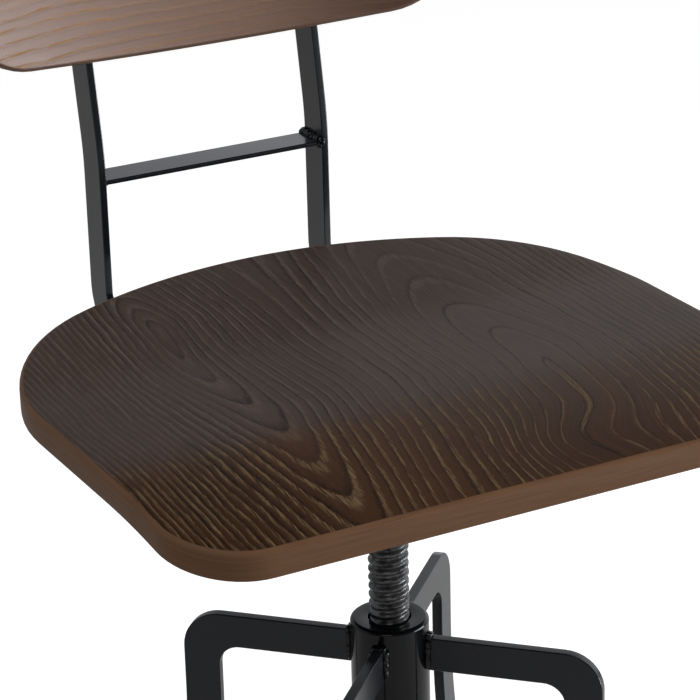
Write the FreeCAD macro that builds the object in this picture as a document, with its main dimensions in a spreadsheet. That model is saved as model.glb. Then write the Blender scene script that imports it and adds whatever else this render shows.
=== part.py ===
import FreeCAD, Part
import math
import os
import re
import Sketcher

# Bar chair: a bent plywood seat and backrest on a welded steel frame. A screw under the seat turns in
# a nut inside the hub of a four-legged base, so turning the seat raises and lowers it.
# Millimetres, +Z up, floor at z = 0, the sitter faces -Y. The origin is on the floor under the
# middle of the chair's box, and swivel_y is where the turning axis stands.

SIZES = {
    # Frame
    "swivel_y": -52,
    # Hub: cap, tube, nut and end plug
    "hub_top": 548,
    "hub_diameter": 50,
    "hub_bore": 40,
    "hub_length": 271,
    "cap_thickness": 7,
    "cap_bore": 28,
    "cap_bevel": 2.5,
    "nut_length": 45,
    "nut_play": 0.5,
    "push_fit": 0.02,
    "plug_flange": 4,
    "plug_depth": 16,
    "plug_wall": 3,
    # Legs: a level arm from the hub, a rounded corner and a leg that flares to the floor
    "leg_thickness": 7,
    "arm_height": 22.5,
    "arm_drop": 11.5,
    "leg_reach": 138,
    "leg_width": 24,
    "leg_outer_round": 25,
    "leg_inner_round": 14,
    "leg_straight": 88,
    "leg_flare": 13,
    "leg_bend_round": 250,
    "weld_gap": 0.05,
    "hub_weld_size": 5,
    # Plastic shoes on the leg ends
    "foot_floor": 4,
    "foot_wall": 3.5,
    "foot_height": 32,
    "foot_play": 0.1,
    # Foot ring, let into the inner edges of the legs
    "ring_height": 230,
    "ring_bar": 16,
    "ring_let_in": 5,
    "ring_play": 0.3,
    "ring_weld_size": 4,
    # Lift screw and its stop
    "screw_diameter": 25.5,
    "screw_pitch": 6,
    "thread_depth": 2.2,
    "shank_diameter": 26,
    "travel_up": 61.5,
    "travel_down": 115.5,
    "stop_gap": 1,
    "socket_gap": 1.5,
    "stop_washer_thickness": 5,
    "stop_washer_play": 0.3,
    "stop_bolt_diameter": 10,
    "stop_bolt_flats": 17,
    "stop_bolt_head": 6.5,
    "stop_bolt_grip": 25,
    # Seat: plan outline, then its profile from front to back
    "seat_height": 720,
    "seat_thickness": 18,
    "seat_half_width": 214.7,
    "seat_front": 178,
    "seat_corner_round": 48.4,
    "seat_shoulder_round": 135,
    "seat_crown_slope": 21.7,
    "seat_crown_straight": 4,
    "seat_back": 183.6,
    "seat_front_tilt": 12,
    "seat_front_bend": 127,
    "seat_front_round": 600,
    "seat_rear_tilt": 6,
    "seat_rear_bend": 64,
    "seat_rear_round": 345,
    "seat_edge_round": 3,
    # Frame under the seat and behind it
    "upright_x": 82,
    "upright_thickness": 5,
    "upright_depth": 25.5,
    "upright_front": 226,
    "upright_heel_round": 8,
    "upright_lean": 10,
    "upright_bend_height": 802,
    "upright_bend_round": 150,
    "upright_lean_length": 185,
    "upright_end_round": 6,
    "rail_setback": 2,
    "crossbar_height": 783.8,
    "crossbar_thickness": 3.2,
    "crossbar_depth": 25,
    "crossbar_weld_size": 4,
    "plate_thickness": 5,
    "plate_setback": 6,
    "plate_back": 70,
    "plate_weld_size": 4,
    "plate_weld_length": 40,
    "plate_weld_y": 30,
    "socket_diameter": 42,
    "socket_weld_size": 5,
    "pin_diameter": 8,
    # Seat fasteners
    "seat_bolt_x": 55,
    "seat_bolt_y": 42,
    "seat_bolt_diameter": 6,
    "seat_bolt_flats": 10,
    "seat_bolt_head": 4,
    "seat_bolt_tip_gap": 1,
    "seat_washer_diameter": 14,
    "seat_washer_thickness": 1.6,
    "seat_insert_diameter": 9,
    "seat_insert_length": 12,
    "bolt_play": 0.3,
    "insert_end_gap": 0.5,
    # Backrest, its tabs and its screws
    "back_rise": 60,
    "back_thickness": 11,
    "back_radius": 600,
    "back_half_width": 180,
    "back_height": 152,
    "back_low_corner_rise": 8,
    "back_top_corner_drop": 16,
    "back_low_round": 2500,
    "back_top_round": 900,
    "back_corner_round": 52,
    "back_edge_round": 3,
    "back_gap": 0.1,
    "bracket_thickness": 4,
    "bracket_width": 30,
    "bracket_height": 96,
    "bracket_low": 28,
    "bracket_inset": 8,
    "bracket_round": 5,
    "bracket_hole_inset": 7,
    "bracket_hole_spacing": 60,
    "bracket_weld_size": 4,
    "back_screw_diameter": 5,
    "back_screw_head_diameter": 9,
    "back_screw_head": 3,
    "back_screw_tip_gap": 0.5,
    "back_insert_diameter": 8,
    "back_insert_length": 8,
}

# Sizes that follow from the ones above, as formulas over their names.
DERIVED = {
    "hub_radius": "hub_diameter / 2",
    "tube_top": "hub_top - cap_thickness",
    "tube_bottom": "tube_top - hub_length",
    "nut_bottom": "tube_top - nut_length",
    "arm_top": "hub_top - arm_drop",
    "arm_bottom": "arm_top - arm_height",
    "arm_start": "hub_radius + weld_gap",
    "bend_height": "arm_top - leg_straight",
    "inner_bend_height": "bend_height - leg_width * tan(leg_flare / 2)",
    "ring_radius": "leg_reach - leg_width + (inner_bend_height - ring_height) * tan(leg_flare)"
                   " + ring_let_in - ring_bar / 2",
    "seat_underside": "seat_height - seat_thickness",
    "seat_crown_round": "(seat_half_width / cos(seat_crown_slope) - seat_crown_straight"
                        " - seat_shoulder_round * tan(45 - seat_crown_slope / 2)) / tan(seat_crown_slope)",
    "seat_crown_peak": "seat_back + seat_crown_round * (1 / cos(seat_crown_slope) - 1)",
    "seat_shoulder_y": "seat_crown_peak - seat_half_width * tan(seat_crown_slope)",
    "seat_flat_front": "seat_front_bend - seat_front_round * tan(seat_front_tilt / 2)",
    "rail_front": "seat_flat_front - rail_setback",
    "plate_front": "seat_flat_front - plate_setback",
    "plate_underside": "seat_underside - plate_thickness",
    "rail_bottom": "seat_underside - upright_depth",
    "rail_inner_x": "upright_x - upright_thickness / 2",
    "socket_bottom": "hub_top + travel_down + socket_gap",
    "socket_length": "plate_underside - socket_bottom",
    "pin_height": "socket_bottom + socket_length / 2",
    "screw_bottom": "nut_bottom - travel_up - stop_gap",
    "washer_bottom": "screw_bottom - stop_washer_thickness",
    "bolt_hole_radius": "stop_bolt_diameter / 2 + push_fit",
    "pin_hole_radius": "pin_diameter / 2 + push_fit",
    "seat_washer_bottom": "plate_underside - seat_washer_thickness",
    "seat_bolt_reach": "seat_washer_thickness + plate_thickness + seat_insert_length - seat_bolt_tip_gap",
    "back_low": "upright_bend_height + back_rise",
    "back_outer_radius": "back_radius + back_thickness",
    "bracket_x": "upright_x - bracket_inset",
    "back_screw_reach": "bracket_thickness + back_gap + back_insert_length - back_screw_tip_gap",
}

WORD = re.compile(r"[a-z_][a-z0-9_]*")
NO_ROUND = "0"

doc = FreeCAD.newDocument("bar_chair")
sheet = doc.addObject("Spreadsheet::Sheet", "Sizes")
for row, (alias, number) in enumerate(SIZES.items(), start=1):
    sheet.set(f"A{row}", alias)
    sheet.set(f"B{row}", str(number))
    sheet.setAlias(f"B{row}", alias)
doc.recompute()

nodes = []


def formula(text):
    """Write a formula over size names as one that reads the sheet."""
    def expand(match):
        word = match.group(0)
        if word in DERIVED:
            return f"({formula(DERIVED[word])})"
        if word in SIZES:
            return f"Sizes.{word}"
        return word
    return WORD.sub(expand, str(text))


def value(text):
    """The number that a formula gives now."""
    result = sheet.evalExpression(formula(text))
    return float(getattr(result, "Value", result))


def vector(x, y, z):
    """A point from three formulas."""
    return FreeCAD.Vector(value(x), value(y), value(z))


def keep(obj, name):
    """Name an object as one of the chair's pieces."""
    obj.Label = name
    nodes.append(obj)
    return obj


def stand(obj, height="0", x="0", turn=0.0):
    """Place a piece by its height and sideways offset from the swivel axis, turned about that axis."""
    obj.Placement = FreeCAD.Placement(
        vector(x, "swivel_y", height), FreeCAD.Rotation(FreeCAD.Vector(0, 0, 1), turn))
    obj.setExpression("Placement.Base.x", formula(x))
    obj.setExpression("Placement.Base.y", formula("swivel_y"))
    obj.setExpression("Placement.Base.z", formula(height))
    return obj


def new_sketch(body, plane, name):
    """An empty sketch on one of the body's own origin planes."""
    sketch = body.newObject("Sketcher::SketchObject", name)
    origin = [item for item in body.Origin.OriginFeatures if item.Role == plane]
    sketch.AttachmentSupport = (origin[0], [""])
    sketch.MapMode = "FlatFace"
    return sketch


def bind(sketch, constraint, name, text):
    """Add a named dimension to a sketch and tie it to a formula."""
    sketch.renameConstraint(sketch.addConstraint(constraint), name)
    sketch.setExpression(f"Constraints.{name}", formula(text))


def draw_outline(sketch, corners, tag="p"):
    """Draw a closed outline through corners given as (x, y, rounding), each a formula."""
    points = [FreeCAD.Vector(value(x), value(y), 0) for x, y, _ in corners]
    radii = [value(radius) for _, _, radius in corners]
    count = len(points)
    starts, ends, arcs = [], [], []
    for i, corner in enumerate(points):
        before = (points[i - 1] - corner).normalize()
        after = (points[(i + 1) % count] - corner).normalize()
        if radii[i] <= 0:
            starts.append(corner)
            ends.append(corner)
            arcs.append(None)
            continue
        half = before.getAngle(after) / 2
        reach = radii[i] / math.tan(half)
        centre = corner + (before + after).normalize() * (radii[i] / math.sin(half))
        first = corner + before * reach
        last = corner + after * reach
        left_turn = (corner - points[i - 1]).cross(points[(i + 1) % count] - corner).z > 0
        begin, finish = (first, last) if left_turn else (last, first)
        angle_begin = math.atan2(begin.y - centre.y, begin.x - centre.x)
        angle_finish = math.atan2(finish.y - centre.y, finish.x - centre.x)
        circle = Part.Circle(centre, FreeCAD.Vector(0, 0, 1), radii[i])
        arc = sketch.addGeometry(Part.ArcOfCircle(circle, angle_begin, angle_finish), False)
        arcs.append((arc, 1 if left_turn else 2, 2 if left_turn else 1))
        starts.append(first)
        ends.append(last)
    lines = []
    for i in range(count):
        side = Part.LineSegment(ends[i], starts[(i + 1) % count])
        lines.append(sketch.addGeometry(side, False))
    for i, (x, y, radius) in enumerate(corners):
        line_in, line_out = lines[i - 1], lines[i]
        if arcs[i] is None:
            sketch.addConstraint(Sketcher.Constraint("Coincident", line_in, 2, line_out, 1))
            spot = (line_out, 1)
        else:
            arc, enter, leave = arcs[i]
            sketch.addConstraint(Sketcher.Constraint("Tangent", line_in, 2, arc, enter))
            sketch.addConstraint(Sketcher.Constraint("Tangent", arc, leave, line_out, 1))
            mark = sketch.addGeometry(Part.Point(points[i]), True)
            sketch.addConstraint(Sketcher.Constraint("PointOnObject", mark, 1, line_in))
            sketch.addConstraint(Sketcher.Constraint("PointOnObject", mark, 1, line_out))
            bind(sketch, Sketcher.Constraint("Radius", arc, radii[i]), f"{tag}{i}_round", radius)
            spot = (mark, 1)
        bind(sketch, Sketcher.Constraint("DistanceX", -1, 1, *spot, points[i].x), f"{tag}{i}_across", x)
        bind(sketch, Sketcher.Constraint("DistanceY", -1, 1, *spot, points[i].y), f"{tag}{i}_up", y)


def draw_circle(sketch, x, y, radius, tag):
    """Draw a circle whose centre and radius are formulas."""
    centre = FreeCAD.Vector(value(x), value(y), 0)
    circle = Part.Circle(centre, FreeCAD.Vector(0, 0, 1), value(radius))
    ring = sketch.addGeometry(circle, False)
    bind(sketch, Sketcher.Constraint("Radius", ring, value(radius)), f"{tag}_radius", radius)
    bind(sketch, Sketcher.Constraint("DistanceX", -1, 1, ring, 3, centre.x), f"{tag}_across", x)
    bind(sketch, Sketcher.Constraint("DistanceY", -1, 1, ring, 3, centre.y), f"{tag}_up", y)


def new_body(name):
    """An empty body for one piece."""
    return doc.addObject("PartDesign::Body", name)


def pad(body, sketch, length, symmetric=True):
    """Thicken a sketch, to both sides of its plane or to one."""
    feature = body.newObject("PartDesign::Pad", f"{body.Name}_pad")
    feature.Profile = sketch
    feature.SideType = "Symmetric" if symmetric else "One side"
    feature.Length = value(length)
    feature.setExpression("Length", formula(length))
    doc.recompute()
    return feature


def pocket(body, sketch, length, symmetric=True, upwards=False):
    """Cut a sketch out of a body, and make sure that the cut took something away."""
    before = body.Shape.Volume
    feature = body.newObject("PartDesign::Pocket", f"{sketch.Name}_cut")
    feature.Profile = sketch
    feature.SideType = "Symmetric" if symmetric else "One side"
    feature.Reversed = upwards
    feature.Length = value(length)
    feature.setExpression("Length", formula(length))
    doc.recompute()
    if not body.Shape.Volume < before:
        raise RuntimeError(f"{sketch.Name} cuts nothing from {body.Name}")
    return feature


def plate(name, plane, corners, thickness, holes=(), symmetric=True):
    """A flat piece with an outline and round holes through it."""
    body = new_body(name)
    sketch = new_sketch(body, plane, f"{name}_outline")
    draw_outline(sketch, corners)
    for i, (x, y, radius) in enumerate(holes):
        draw_circle(sketch, x, y, radius, f"hole{i}")
    pad(body, sketch, thickness, symmetric)
    return body


def turned(name, corners):
    """A round piece, turned about Z from a half section given as (radius, height, rounding)."""
    body = new_body(name)
    sketch = new_sketch(body, "XZ_Plane", f"{name}_section")
    draw_outline(sketch, corners)
    feature = body.newObject("PartDesign::Revolution", f"{name}_turn")
    feature.Profile = sketch
    feature.ReferenceAxis = (sketch, ["V_Axis"])
    feature.Angle = 360
    doc.recompute()
    return body


def rectangle(low_x, low_y, high_x, high_y, rounding=NO_ROUND):
    """The corners of a rectangle, counter-clockwise."""
    return [
        (low_x, low_y, rounding),
        (high_x, low_y, rounding),
        (high_x, high_y, rounding),
        (low_x, high_y, rounding),
    ]


def runs_along(face, direction):
    """Whether a flat or cylindrical face is parallel to a direction."""
    slant = abs(face.Surface.Axis.dot(direction))
    if face.Surface.TypeId == "Part::GeomPlane":
        return slant < 1e-6
    return slant > 1 - 1e-6


def round_rim(body, radius, direction):
    """Round both edges of a board's rim, which runs along the direction that the board was trimmed in."""
    base = body.Tip
    rim = [face for face in base.Shape.Faces if runs_along(face, direction)]
    names = []
    for i, edge in enumerate(base.Shape.Edges, start=1):
        touching = [face for face in rim if any(edge.isSame(other) for other in face.Edges)]
        if len(touching) == 1:
            names.append(f"Edge{i}")
    feature = body.newObject("PartDesign::Fillet", f"{body.Name}_edges")
    feature.Base = (base, names)
    feature.Radius = value(radius)
    feature.setExpression("Radius", formula(radius))
    doc.recompute()
    return feature


def group(name, solids):
    """Several like solids as one piece."""
    feature = doc.addObject("Part::Feature", name)
    feature.Shape = Part.makeCompound(solids)
    return keep(feature, name)


def prism(points, along):
    """A straight bead with a flat-sided section."""
    return Part.Face(Part.makePolygon(points + points[:1])).extrude(along)


def at_axis(shape):
    """A copy of a shape moved from the swivel axis at the origin to where that axis stands."""
    moved = shape.copy()
    moved.translate(FreeCAD.Vector(0, value("swivel_y"), 0))
    return moved


def make_hub():
    """Cap, tube, nut and end plug, all round the screw."""
    cap = turned("hub_cap", [
        ("cap_bore / 2", "0", NO_ROUND),
        ("hub_radius", "0", NO_ROUND),
        ("hub_radius", "cap_thickness - cap_bevel", NO_ROUND),
        ("hub_radius - cap_bevel", "cap_thickness", NO_ROUND),
        ("cap_bore / 2", "cap_thickness", NO_ROUND),
    ])
    stand(keep(cap, "hub_cap"), "tube_top")
    tube = turned("hub_tube", rectangle("hub_bore / 2", "0", "hub_radius", "hub_length"))
    stand(keep(tube, "hub_tube"), "tube_bottom")
    nut = turned("hub_nut", rectangle(
        "screw_diameter / 2 + nut_play", "0", "hub_bore / 2 - push_fit", "nut_length"))
    stand(keep(nut, "hub_nut"), "nut_bottom")
    plug = turned("hub_plug", [
        ("0", "-plug_flange", NO_ROUND),
        ("hub_radius", "-plug_flange", NO_ROUND),
        ("hub_radius", "0", NO_ROUND),
        ("hub_bore / 2 - push_fit", "0", NO_ROUND),
        ("hub_bore / 2 - push_fit", "plug_depth", NO_ROUND),
        ("hub_bore / 2 - plug_wall", "plug_depth", NO_ROUND),
        ("hub_bore / 2 - plug_wall", "0", NO_ROUND),
        ("0", "0", NO_ROUND),
    ])
    stand(keep(plug, "hub_plug"), "tube_bottom")


LEG_TURNS = {"front_left": 225, "front_right": 315, "rear_right": 45, "rear_left": 135}


def leg_outer(height):
    """Distance of the flared leg's outer edge from the swivel axis."""
    return f"leg_reach + (bend_height - ({height})) * tan(leg_flare)"


def leg_inner(height):
    """Distance of the flared leg's inner edge from the swivel axis."""
    return f"leg_reach - leg_width + (inner_bend_height - ({height})) * tan(leg_flare)"


def make_leg(side, turn):
    """One leg plate, drawn in its own upright plane through the swivel axis."""
    name = f"leg_{side}"
    leg = plate(name, "XZ_Plane", [
        ("arm_start", "arm_bottom", NO_ROUND),
        ("leg_reach - leg_width", "arm_bottom", "leg_inner_round"),
        ("leg_reach - leg_width", "inner_bend_height", "leg_bend_round + leg_width"),
        (leg_inner("foot_floor"), "foot_floor", NO_ROUND),
        (leg_outer("foot_floor"), "foot_floor", NO_ROUND),
        ("leg_reach", "bend_height", "leg_bend_round"),
        ("leg_reach", "arm_top", "leg_outer_round"),
        ("arm_start", "arm_top", NO_ROUND),
    ], "leg_thickness")
    before = leg.Shape.Volume
    notch = new_sketch(leg, "XZ_Plane", f"{name}_notch")
    draw_circle(notch, "ring_radius", "ring_height", "ring_bar / 2 + ring_play", "bar")
    groove = leg.newObject("PartDesign::Groove", f"{name}_seat")
    groove.Profile = notch
    groove.ReferenceAxis = (notch, ["V_Axis"])
    groove.Angle = 360
    doc.recompute()
    if not leg.Shape.Volume < before:
        raise RuntimeError(f"the notch for the foot ring misses {name}")
    stand(keep(leg, name), turn=turn)


def make_foot_cap(side, turn):
    """A plastic shoe that the leg's end sits in."""
    name = f"foot_cap_{side}"
    wall = "foot_wall / cos(leg_flare)"
    cap = plate(name, "XZ_Plane", [
        (f"{leg_inner('0')} - {wall}", "0", NO_ROUND),
        (f"{leg_outer('0')} + {wall}", "0", NO_ROUND),
        (f"{leg_outer('foot_height')} + {wall}", "foot_height", NO_ROUND),
        (f"{leg_inner('foot_height')} - {wall}", "foot_height", NO_ROUND),
    ], "leg_thickness + 2 * foot_wall")
    slot = new_sketch(cap, "XZ_Plane", f"{name}_slot")
    slot_top = "foot_height + foot_floor"
    draw_outline(slot, [
        (f"{leg_inner('foot_floor')} - foot_play", "foot_floor", NO_ROUND),
        (f"{leg_outer('foot_floor')} + foot_play", "foot_floor", NO_ROUND),
        (f"{leg_outer(slot_top)} + foot_play", slot_top, NO_ROUND),
        (f"{leg_inner(slot_top)} - foot_play", slot_top, NO_ROUND),
    ])
    pocket(cap, slot, "leg_thickness + 2 * foot_play")
    stand(keep(cap, name), turn=turn)


def make_foot_ring():
    """The round bar that the sitter's feet rest on."""
    ring = doc.addObject("Part::Torus", "foot_ring")
    ring.setExpression("Radius1", formula("ring_radius"))
    ring.setExpression("Radius2", formula("ring_bar / 2"))
    stand(keep(ring, "foot_ring"), "ring_height")


def make_base_welds():
    """Beads beside each arm at the hub, and round the foot ring at each leg."""
    hub = value("arm_start")
    side = value("leg_thickness / 2 + weld_gap")
    size = value("hub_weld_size")
    bottom = value("arm_bottom")

    def on_hub(offset):
        return FreeCAD.Vector(math.sqrt(hub ** 2 - offset ** 2), offset, bottom)

    inner, outer = on_hub(side), on_hub(side + size)
    tip = inner + FreeCAD.Vector(size, 0, 0)
    bulge = (tip + outer) * 0.5 + (tip - inner + outer - inner).normalize() * (size / 4)
    edges = [
        Part.LineSegment(inner, tip).toShape(),
        Part.Arc(tip, bulge, outer).toShape(),
        Part.Arc(outer, on_hub(side + size / 2), inner).toShape(),
    ]
    up = FreeCAD.Vector(0, 0, value("arm_height"))
    bead = Part.Face(Part.Wire(edges)).extrude(up)
    bar = value("ring_bar / 2 + ring_play")
    ring_size = value("ring_weld_size")
    radius = value("ring_radius")
    height = value("ring_height")
    root = FreeCAD.Vector(radius, side, height)
    along = FreeCAD.Vector(0, 1, 0)
    collar = Part.makeCone(bar + ring_size, bar + ring_size / 4, ring_size, root, along)
    collar = collar.cut(Part.makeTorus(radius, bar, FreeCAD.Vector(0, 0, height)))
    reach = bar + ring_size
    outer_half = Part.makeBox(reach, ring_size, 2 * reach, root - FreeCAD.Vector(0, 0, reach))
    collar = collar.common(outer_half)
    hub_beads, ring_beads = [], []
    mirror_point, mirror_normal = FreeCAD.Vector(0, 0, 0), FreeCAD.Vector(0, 1, 0)
    for turn in LEG_TURNS.values():
        for source, target in ((bead, hub_beads), (collar, ring_beads)):
            for shape in (source, source.mirror(mirror_point, mirror_normal)):
                placed = shape.copy()
                placed.rotate(FreeCAD.Vector(0, 0, 0), FreeCAD.Vector(0, 0, 1), turn)
                target.extend(at_axis(placed).Solids)
    group("hub_welds", hub_beads)
    group("ring_welds", ring_beads)


STEPS_PER_TURN = 8


def make_screw():
    """The lift screw. Its rounded thread is a circle that moves up while its centre goes round a helix."""
    offset = value("thread_depth / 2")
    core = value("screw_diameter / 2") - offset
    bottom = value("screw_bottom")
    length = value("socket_bottom - screw_bottom")
    turns = length / value("screw_pitch")
    steps = math.ceil(turns * STEPS_PER_TURN)
    rings = []
    for step in range(steps + 1):
        share = step / steps
        angle = 2 * math.pi * turns * share
        centre = FreeCAD.Vector(
            offset * math.cos(angle), offset * math.sin(angle), bottom + length * share)
        rings.append(Part.Wire(Part.makeCircle(core, centre)))
    thread = Part.makeLoft(rings, True, True)
    shank = Part.makeCylinder(
        value("shank_diameter / 2"), value("socket_length"), vector("0", "0", "socket_bottom"))
    hole = Part.makeCylinder(
        value("bolt_hole_radius"), value("stop_bolt_grip"), FreeCAD.Vector(0, 0, bottom))
    pin = Part.makeCylinder(
        value("pin_hole_radius"), value("2 * socket_diameter"),
        vector("-socket_diameter", "0", "pin_height"), FreeCAD.Vector(1, 0, 0))
    screw = doc.addObject("Part::Feature", "lift_screw")
    screw.Shape = thread.fuse(shank).cut(hole).cut(pin).Solids[0]
    stand(keep(screw, "lift_screw"))


def hexagon(flats):
    """The corners of a hexagon given by the distance across its flats."""
    return [
        (f"{flats} / 2 / cos(30) * cos({60 * i})", f"{flats} / 2 / cos(30) * sin({60 * i})", NO_ROUND)
        for i in range(6)
    ]


def hex_bolt(name, flats, head, diameter, reach):
    """A hexagon bolt with its shank pointing up from the top of its head at z = 0."""
    bolt = new_body(name)
    head_sketch = new_sketch(bolt, "XY_Plane", f"{name}_head")
    draw_outline(head_sketch, hexagon(flats))
    feature = pad(bolt, head_sketch, head, symmetric=False)
    feature.Reversed = True
    shank_sketch = new_sketch(bolt, "XY_Plane", f"{name}_shank")
    draw_circle(shank_sketch, "0", "0", f"{diameter} / 2", "shank")
    shank = bolt.newObject("PartDesign::Pad", f"{name}_shank_pad")
    shank.Profile = shank_sketch
    shank.setExpression("Length", formula(reach))
    doc.recompute()
    return bolt


def make_stop():
    """A loose washer under the screw that meets the nut at the top of the travel, and its bolt."""
    washer = turned("stop_washer", rectangle(
        "stop_bolt_diameter / 2 + stop_washer_play", "0",
        "hub_bore / 2 - stop_washer_play", "stop_washer_thickness"))
    stand(keep(washer, "stop_washer"), "washer_bottom")
    bolt = hex_bolt("stop_bolt", "stop_bolt_flats", "stop_bolt_head", "stop_bolt_diameter",
                    "stop_washer_thickness + stop_bolt_grip - stop_gap")
    stand(keep(bolt, "stop_bolt"), "washer_bottom")


def make_seat():
    """The bent seat board: its side profile across the full width, trimmed to the plan outline."""
    seat = new_body("seat")
    overhang = "(seat_edge_round + seat_thickness)"
    front_end = f"-seat_front - {overhang}"
    rear_end = f"seat_back + {overhang}"
    front_low = "-seat_front_bend + seat_thickness * tan(seat_front_tilt / 2)"
    rear_low = "seat_rear_bend + seat_thickness * tan(seat_rear_tilt / 2)"
    profile = new_sketch(seat, "YZ_Plane", "seat_profile")
    draw_outline(profile, [
        (front_end, f"-({front_low} - ({front_end})) * tan(seat_front_tilt)", NO_ROUND),
        (front_low, "0", "seat_front_round - seat_thickness"),
        (rear_low, "0", "seat_rear_round + seat_thickness"),
        (rear_end, f"({rear_end} - ({rear_low})) * tan(seat_rear_tilt)", NO_ROUND),
        (rear_end, f"seat_thickness + ({rear_end} - seat_rear_bend) * tan(seat_rear_tilt)", NO_ROUND),
        ("seat_rear_bend", "seat_thickness", "seat_rear_round"),
        ("-seat_front_bend", "seat_thickness", "seat_front_round"),
        (front_end, f"seat_thickness - (-seat_front_bend - ({front_end})) * tan(seat_front_tilt)", NO_ROUND),
    ])
    pad(seat, profile, f"2 * (seat_half_width + {overhang})")
    trim = new_sketch(seat, "XY_Plane", "seat_plan")
    margin = f"2 * {overhang}"
    draw_outline(trim, rectangle(
        f"-seat_half_width - {margin}", f"-seat_front - {margin}",
        f"seat_half_width + {margin}", f"seat_back + {margin}"), "frame")
    draw_outline(trim, [
        ("-seat_half_width", "-seat_front", "seat_corner_round"),
        ("seat_half_width", "-seat_front", "seat_corner_round"),
        ("seat_half_width", "seat_shoulder_y", "seat_shoulder_round"),
        ("0", "seat_crown_peak", "seat_crown_round"),
        ("-seat_half_width", "seat_shoulder_y", "seat_shoulder_round"),
    ], "board")
    pocket(seat, trim, "8 * seat_front")
    round_rim(seat, "seat_edge_round", FreeCAD.Vector(0, 0, 1))
    holes = new_sketch(seat, "XY_Plane", "seat_insert_holes")
    for i, (x, y) in enumerate(seat_bolt_spots()):
        draw_circle(holes, x, y, "seat_insert_diameter / 2 + push_fit", f"insert{i}")
    pocket(seat, holes, "seat_insert_length + insert_end_gap", symmetric=False, upwards=True)
    stand(keep(seat, "seat"), "seat_underside")


def seat_bolt_spots():
    """Where the four seat bolts stand, from the swivel axis."""
    return [(f"{sx} * seat_bolt_x", f"{sy} * seat_bolt_y") for sx in (-1, 1) for sy in (-1, 1)]


def make_seat_frame():
    """Uprights that run under the seat as rails, the plate between them, the socket and the crossbar."""
    lean_x = "upright_lean_length * sin(upright_lean)"
    lean_z = "upright_lean_length * cos(upright_lean)"
    top_front = (f"upright_front + {lean_x}", f"upright_bend_height + {lean_z}")
    outline = [
        ("-rail_front", "rail_bottom", "upright_end_round"),
        ("upright_front + upright_depth", "rail_bottom", "upright_heel_round + upright_depth"),
        ("upright_front + upright_depth", "upright_bend_height - upright_depth * tan(upright_lean / 2)",
         "upright_bend_round"),
        (f"{top_front[0]} + upright_depth * cos(upright_lean)",
         f"{top_front[1]} - upright_depth * sin(upright_lean)", "upright_end_round"),
        (*top_front, "upright_end_round"),
        ("upright_front", "upright_bend_height", "upright_bend_round + upright_depth"),
        ("upright_front", "seat_underside", "upright_heel_round"),
        ("-rail_front", "seat_underside", NO_ROUND),
    ]
    for side, sign in (("left", -1), ("right", 1)):
        name = f"back_upright_{side}"
        bar = plate(name, "YZ_Plane", outline, "upright_thickness")
        stand(keep(bar, name), x=f"{sign} * upright_x")
    crossbar = plate("back_crossbar", "XY_Plane", rectangle(
        "-rail_inner_x", "upright_front", "rail_inner_x", "upright_front + crossbar_depth"),
        "crossbar_thickness", symmetric=False)
    stand(keep(crossbar, "back_crossbar"), "crossbar_height")
    bolt_holes = [(x, y, "seat_bolt_diameter / 2 + bolt_play") for x, y in seat_bolt_spots()]
    deck = plate("seat_plate", "XY_Plane", rectangle(
        "-rail_inner_x", "-plate_front", "rail_inner_x", "plate_back"),
        "plate_thickness", bolt_holes, symmetric=False)
    stand(keep(deck, "seat_plate"), "plate_underside")
    socket = turned("screw_socket", rectangle(
        "shank_diameter / 2 + push_fit", "0", "socket_diameter / 2", "socket_length"))
    pin_hole = new_sketch(socket, "YZ_Plane", "socket_pin_hole")
    draw_circle(pin_hole, "0", "socket_length / 2", "pin_hole_radius", "pin")
    pocket(socket, pin_hole, "2 * socket_diameter")
    stand(keep(socket, "screw_socket"), "socket_bottom")
    pin = plate_pin()
    stand(keep(pin, "socket_pin"), "pin_height")
    bead = turned("socket_weld", [
        ("socket_diameter / 2 + weld_gap", "0", NO_ROUND),
        ("socket_diameter / 2 + weld_gap", "-socket_weld_size", NO_ROUND),
        ("socket_diameter / 2 + socket_weld_size", "0", NO_ROUND),
    ])
    stand(keep(bead, "socket_weld"), "plate_underside")


def plate_pin():
    """The pin through the socket and the top of the screw."""
    body = new_body("socket_pin")
    sketch = new_sketch(body, "YZ_Plane", "socket_pin_end")
    draw_circle(sketch, "0", "0", "pin_diameter / 2", "pin")
    pad(body, sketch, "socket_diameter - 4 * push_fit")
    return body


def make_frame_welds():
    """Straight beads at the ends of the crossbar and along the plate's sides."""
    inner = value("rail_inner_x")
    size = value("crossbar_weld_size")
    front = value("upright_front")
    run = FreeCAD.Vector(0, value("crossbar_depth"), 0)
    low = value("crossbar_height")
    crossbar_beads, plate_beads = [], []
    for sign in (-1, 1):
        for z, up in ((low, -1), (low + value("crossbar_thickness"), 1)):
            corner = FreeCAD.Vector(sign * inner, front, z)
            points = [
                corner,
                corner - FreeCAD.Vector(sign * size, 0, 0),
                corner + FreeCAD.Vector(0, 0, up * size),
            ]
            crossbar_beads.append(at_axis(prism(points, run)))
    size = value("plate_weld_size")
    length = value("plate_weld_length")
    for sign in (-1, 1):
        for middle in (-value("plate_weld_y"), value("plate_weld_y")):
            corner = FreeCAD.Vector(sign * inner, middle - length / 2, value("plate_underside"))
            points = [
                corner,
                corner - FreeCAD.Vector(sign * size, 0, 0),
                corner - FreeCAD.Vector(0, 0, size),
            ]
            plate_beads.append(at_axis(prism(points, FreeCAD.Vector(0, length, 0))))
    group("crossbar_welds", crossbar_beads)
    group("plate_welds", plate_beads)


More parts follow.
